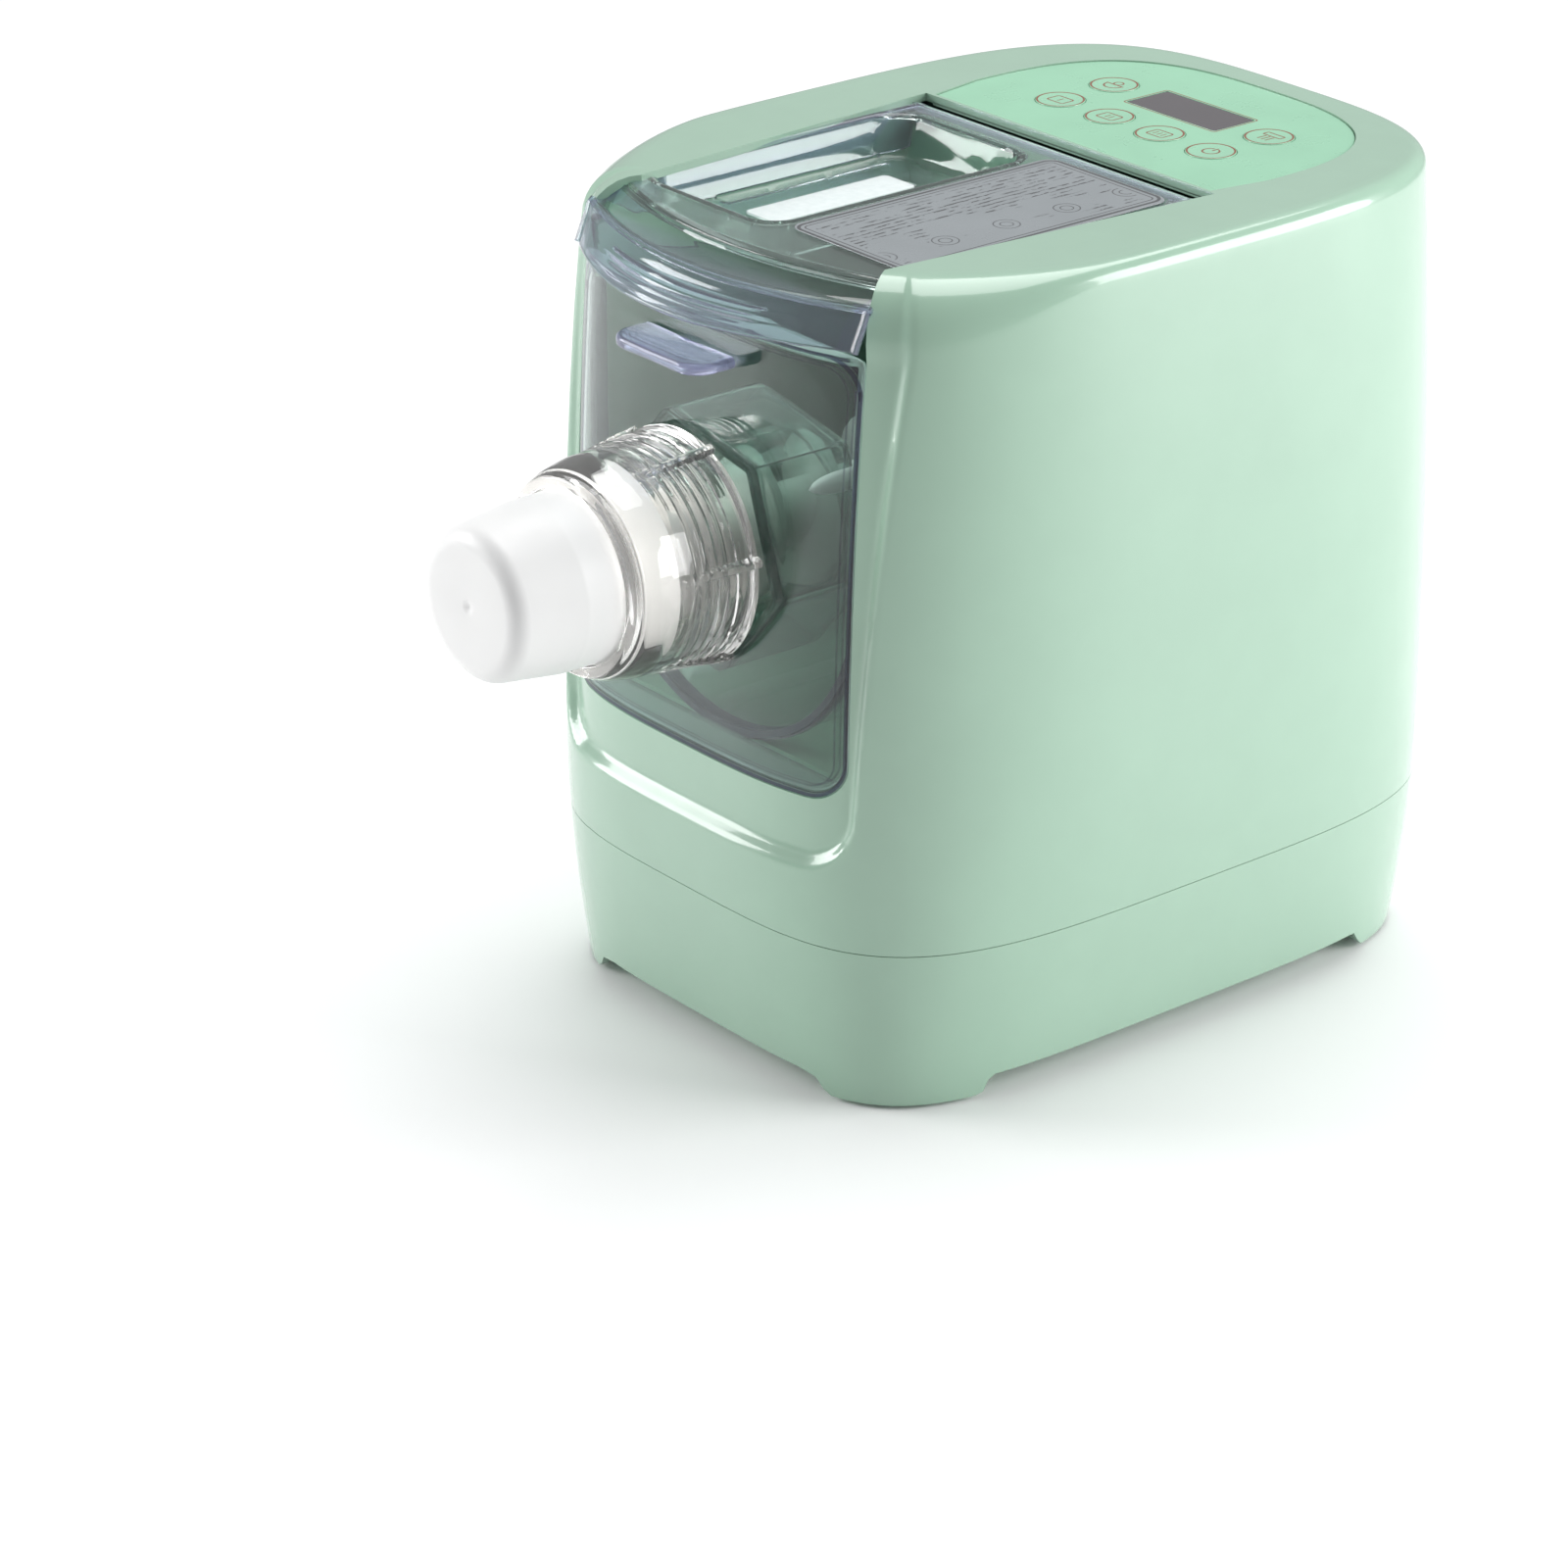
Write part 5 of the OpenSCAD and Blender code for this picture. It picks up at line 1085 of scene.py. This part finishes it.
class PASTA_OT_paddle(Builder, bpy.types.Operator):
    """Makes the mixing paddle: a hub and two bars, each an oval section carried along a bent line"""
    bl_idname = "pasta.paddle"
    bl_label = "Paddle"

    def execute(self, context):
        d = Sizes("bay")
        hub = softened([(-12, 9), (-12, 16), (11.9, 16), (11.9, 9)], [0, 3, 1.5, 0], 5)
        parts = [sheet(turned_round(looped(hub), 72), True)]
        along = np.linspace(0, 1, 60)
        t = np.linspace(0, 2 * np.pi, 28, endpoint=False)
        for turn, reach in ((32, -122.0), (212, -84.0)):
            out = np.array([math.cos(math.radians(turn)), 0, math.sin(math.radians(turn))])
            side = np.array([-out[2], 0, out[0]])
            line = softened([(8, 6.0), (d.bar_radius, 6.0), (d.bar_radius, reach)], [0, 12, 0], 12, closed=False)
            line = spaced(line, along)
            ahead = unit(np.gradient(line, axis=0))
            across = np.stack([ahead[:, 1], -ahead[:, 0]], -1)
            size = np.concatenate([np.ones(56), [0.93, 0.8, 0.55, 0.0]])
            wide = (3.6 + 2.2 * (1 - ramp(along, 0.1, 0.4))) * size
            flat = line[:, None] + across[:, None] * (wide[:, None] * np.cos(t))[..., None]
            point = (0, 0, AXIS_Z) + out * flat[..., :1] + (0, 1, 0) * flat[..., 1:]
            point = point + side * (3.5 * size[:, None] * np.sin(t))[..., None]
            parts.append(sheet(np.concatenate([np.broadcast_to(point[0].mean(0), point[:1].shape), point]), True))
        make("paddle_arms", parts, ["white_plastic"], "auger", ["mixing_paddle"])
        return {"FINISHED"}


class PASTA_OT_barrel(Builder, bpy.types.Operator):
    """Makes the clear barrel: a turned tube with a thread on its front part"""
    bl_idname = "pasta.barrel"
    bl_label = "Barrel"

    def execute(self, context):
        front, shoulder, back = -172.2, -134.2, -92.4
        inner, outer, pitch = 25.8, 32.0, 6.0
        line = softened([(front, inner), (front, outer), (-138.5, outer), (-136.4, outer + 1), (shoulder, outer + 1),
                         (shoulder, 28.9), (back, 28.6), (back, inner)], [0.6, 1.0, 0.4, 0.4, 0.4, 1, 0.6, 0.4], 4)
        base = looped(dense(line, 0.7))
        outside = (base[:, 1] > outer - 0.8)[:, None]

        def thread(y, angle):
            """A ridge that runs on by its pitch each turn, on the outside of the front part."""
            wave = np.cos(2 * np.pi * (y + 170) / pitch - angle)
            return 0.9 * ramp(wave, 0.1, 0.8) * ramp(y, -171, -168) * (1 - ramp(y, -142, -139)) * outside

        make("clear_barrel", [sheet(turned_round(base, 144, grow=thread), True)], ["clear_plastic"], "cover",
             ["extruder_barrel"], crease=50)
        return {"FINISHED"}


class PASTA_OT_collar(Builder, bpy.types.Operator):
    """Makes the locking collar: a turned ring with ribs and six grips"""
    bl_idname = "pasta.collar"
    bl_label = "Locking collar"

    def execute(self, context):
        d = Sizes("nozzle")
        front, back = d.collar_front, d.collar_back
        step, seat, inner = back - 26, -180.5, 29.6
        outer = [(front, inner), (front, 33.2), (front + 5, d.ring_radius + 0.8), (front + 13, 37.2), (step, 37.4)]
        radii = [1.2, 1.6, 8, 10, 0.8]
        for k in range(5):
            y, low = step + 3.4 + 3.7 * k, 37.5 + 0.3 * k
            outer += [(y - 0.8, low), (y - 0.35, low + 0.7), (y + 0.35, low + 0.7), (y + 0.8, low + 0.1)]
            radii += [0.3] * 4
        outer += [(back - 3.2, 38.9), (back - 2.6, d.rim_radius - 0.6), (back, d.rim_radius - 0.4), (back, 34.2),
                  (seat, 33.9), (seat, inner)]
        radii += [0.5, 0.6, 0.8, 0.6, 0.5, 0.5]
        base = looped(dense(softened(outer, radii, 3), 0.7))
        outside = (base[:, 1] > 36.0)[:, None]

        def grip(y, angle):
            """Six fins, each filling the outside up to a line that rises to the rear."""
            turn = (np.degrees(angle) - 8) % 60
            turn = np.minimum(turn, 60 - turn)
            tall = (37.2 + 4.6 * ramp(y, step - 9, back + 4) - base[:, 1:]) * ramp(y, front + 7, front + 17)
            return (1 - ramp(turn, 1.6, 2.7)) * outside * np.maximum(tall, 0)

        make("locking_collar", [sheet(turned_round(base, 288, grow=grip), True)], ["clear_plastic"], "collar",
             ["lock_collar"], crease=40)
        return {"FINISHED"}


class PASTA_OT_nozzle(Builder, bpy.types.Operator):
    """Makes the white nozzle: a turned cup with noodle holes in its lower side"""
    bl_idname = "pasta.nozzle"
    bl_label = "Nozzle"

    def execute(self, context):
        d = Sizes("nozzle")
        front, r = d.cap_front, d.cap_radius
        flange_front, flange_back, seat, floor = -180.3, -166.4, -172.5, front + 3.2
        outer = [(front, 3.2), (front, r - 3.5), (-198, r - 0.2), (flange_front, r), (flange_front, 33.6),
                 (flange_back, 33.6), (flange_back, 33.05), (seat, 33.05), (seat, r - 3), (floor, r - 4.6), (floor, 0)]
        line = softened(outer, [0, 6.6, 14, 0.4, 0.8, 0.2, 0.2, 0.2, 0.6, 3.5, 0], 10, closed=False)
        line = np.concatenate([[(front + 0.9, 0), (front + 0.75, 0.9), (front + 0.1, 2.1)], line])
        holes = [circle(d.hole_pitch * (j - 2), front + 12 + d.hole_pitch * i, d.hole_radius)
                 for i in range(4) for j in range(5)]
        make("white_nozzle", [sheet(turned_round(line, 160), True)], ["white_plastic"], "nozzle", ["nozzle_cap"],
             cuts=[prism(hole, AXIS_Z - r - 3, AXIS_Z - 12) for hole in holes])
        return {"FINISHED"}


class PASTA_OT_controls(Builder, bpy.types.Operator):
    """Makes the panel film, its display, the six keys and the lid's label"""
    bl_idname = "pasta.controls"
    bl_label = "Film, keys and label"

    def execute(self, context):
        p = Sizes("panel")
        holes = [prism(circle(x, y, p.key_radius + 0.25, 64), 280, 290) for x, y in KEYS.values()]
        holes.append(prism(rectangle(-21.95, 74.3, 21.95, 93.7, 1), 280, 290))
        film = slab(dense(film_outline(p), 1.5), TOP_LEVEL, 284.6, 0.35, 3)
        make("panel_film", [sheet(film, True)], ["film"], "housing", ["control_film"], cuts=holes)
        pane = slab(dense(rectangle(-21.75, 74.5, 21.75, 93.5, 0.9), 1.5), TOP_LEVEL, 284.55, 0.25, 3)
        make("display_pane", [sheet(pane, True)], ["display_plastic"], "housing", ["display_window"])
        t = np.linspace(0, np.pi / 2, 5)
        r = p.key_radius
        bead = np.stack([284.55 + 0.35 * np.sin(t), r - 0.35 + 0.35 * np.cos(t)], -1)
        profile = [(TOP_LEVEL, 0), (TOP_LEVEL, r), *bead, (284.82, r - 1.2), (284.72, r * 0.5), (284.7, 0)]
        for node, (x, y) in KEYS.items():
            key = np.stack([at_height(circle(x, y, radius, 72), z) for z, radius in profile])
            make(node + "_top", [sheet(key, True)], [node], node, [node])
        label = slab(dense(rectangle(6.3, -99, 64.9, 14.4, 5), 2.0), TOP_LEVEL, 283.7, 0.2, 3)
        make("lid_label", [sheet(label, True)], ["label_plastic"], "lid", ["lid_plate"])
        return {"FINISHED"}


class PASTA_OT_stage(Builder, bpy.types.Operator):
    """Makes the floor, the lights and the camera"""
    bl_idname = "pasta.stage"
    bl_label = "Stage"

    def execute(self, context):
        scene = bpy.context.scene
        azimuth, elevation = math.radians(50.73), math.radians(24.51)
        look_along = Vector((-math.sin(azimuth) * math.cos(elevation), math.cos(azimuth) * math.cos(elevation),
                             -math.sin(elevation)))
        camera = bpy.data.objects.new("Camera", bpy.data.cameras.new("Camera"))
        camera.location = (1.2514, -1.0776, 0.8205)
        camera.rotation_euler = look_along.to_track_quat("-Z", "Y").to_euler()
        camera.data.lens, camera.data.sensor_width, camera.data.clip_end = 120.67, 36, 20
        scene.collection.objects.link(camera)
        scene.camera = camera
        gx, gy = np.meshgrid(np.linspace(-6, 6, 5), np.linspace(-6, 6, 5))
        level = np.stack([gx, gy, 0 * gx - 0.0004], -1).reshape(-1, 3)
        mesh = bpy.data.meshes.new("floor")
        mesh.from_pydata(level.tolist(), [], grid_faces(5, 5).tolist())
        floor = bpy.data.objects.new("floor", mesh)
        scene.collection.objects.link(floor)
        look = Look("Pale floor")
        pale = look.blend(look.noise(400, 2), tone(248, 248, 248), tone(252, 252, 252))
        floor.data.materials.append(look.done(look.solid(Base_Color=pale, Roughness=0.6)))
        world = bpy.data.worlds.new("Studio")
        world.use_nodes = True
        background = world.node_tree.nodes["Background"].inputs
        background["Color"].default_value = (0.97, 0.98, 1.0, 1)
        background["Strength"].default_value = 0.4
        scene.world = world
        scene.view_settings.view_transform = "Standard"
        aim = Vector((0, 0.03, 0.14))
        for name, where, width, height, power in (
            ("right softbox", (1.4, 1.35, 0.7), 1.2, 1.3, 37),
            ("front softbox", (-1.6, -1.3, 0.8), 1.0, 1.2, 29),
            ("top softbox", (-0.3, 0.5, 1.8), 1.4, 1.4, 23),
        ):
            lamp = bpy.data.lights.new(name, "AREA")
            lamp.shape, lamp.size, lamp.size_y, lamp.energy = "RECTANGLE", width, height, power
            item = bpy.data.objects.new(name, lamp)
            item.location = where
            item.rotation_euler = (aim - Vector(where)).to_track_quat("-Z", "Y").to_euler()
            scene.collection.objects.link(item)
        return {"FINISHED"}


STEPS = (PASTA_OT_finishes, PASTA_OT_housing, PASTA_OT_base, PASTA_OT_bay, PASTA_OT_lid, PASTA_OT_window,
         PASTA_OT_cup, PASTA_OT_screw, PASTA_OT_paddle, PASTA_OT_barrel, PASTA_OT_collar, PASTA_OT_nozzle,
         PASTA_OT_controls, PASTA_OT_stage)


class PASTA_PT_builder(bpy.types.Panel):
    """Lists the steps in their order, and all sizes and colours"""
    bl_label = "Pasta maker"
    bl_space_type = "VIEW_3D"
    bl_region_type = "UI"
    bl_category = "Pasta maker"

    def draw(self, context):
        for step in STEPS:
            self.layout.operator(step.bl_idname, text=step.bl_label)
        for name, group in GROUPS.items():
            box = self.layout.box()
            box.label(text=name.capitalize())
            for key in group.__annotations__:
                box.prop(getattr(context.scene, "pasta_" + name), key)


def register():
    """Registers the classes and gives the scene its sizes."""
    for item in (*GROUPS.values(), *STEPS, PASTA_PT_builder):
        bpy.utils.register_class(item)
    for name, group in GROUPS.items():
        setattr(bpy.types.Scene, "pasta_" + name, bpy.props.PointerProperty(type=group))


def unregister():
    """Takes back what register did."""
    for name in GROUPS:
        delattr(bpy.types.Scene, "pasta_" + name)
    for item in (PASTA_PT_builder, *STEPS[::-1], *GROUPS.values()):
        bpy.utils.unregister_class(item)


def main():
    """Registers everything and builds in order."""
    register()
    for step in STEPS:
        getattr(bpy.ops.pasta, step.bl_idname.split(".")[1])()


if __name__ == "__main__":
    main()
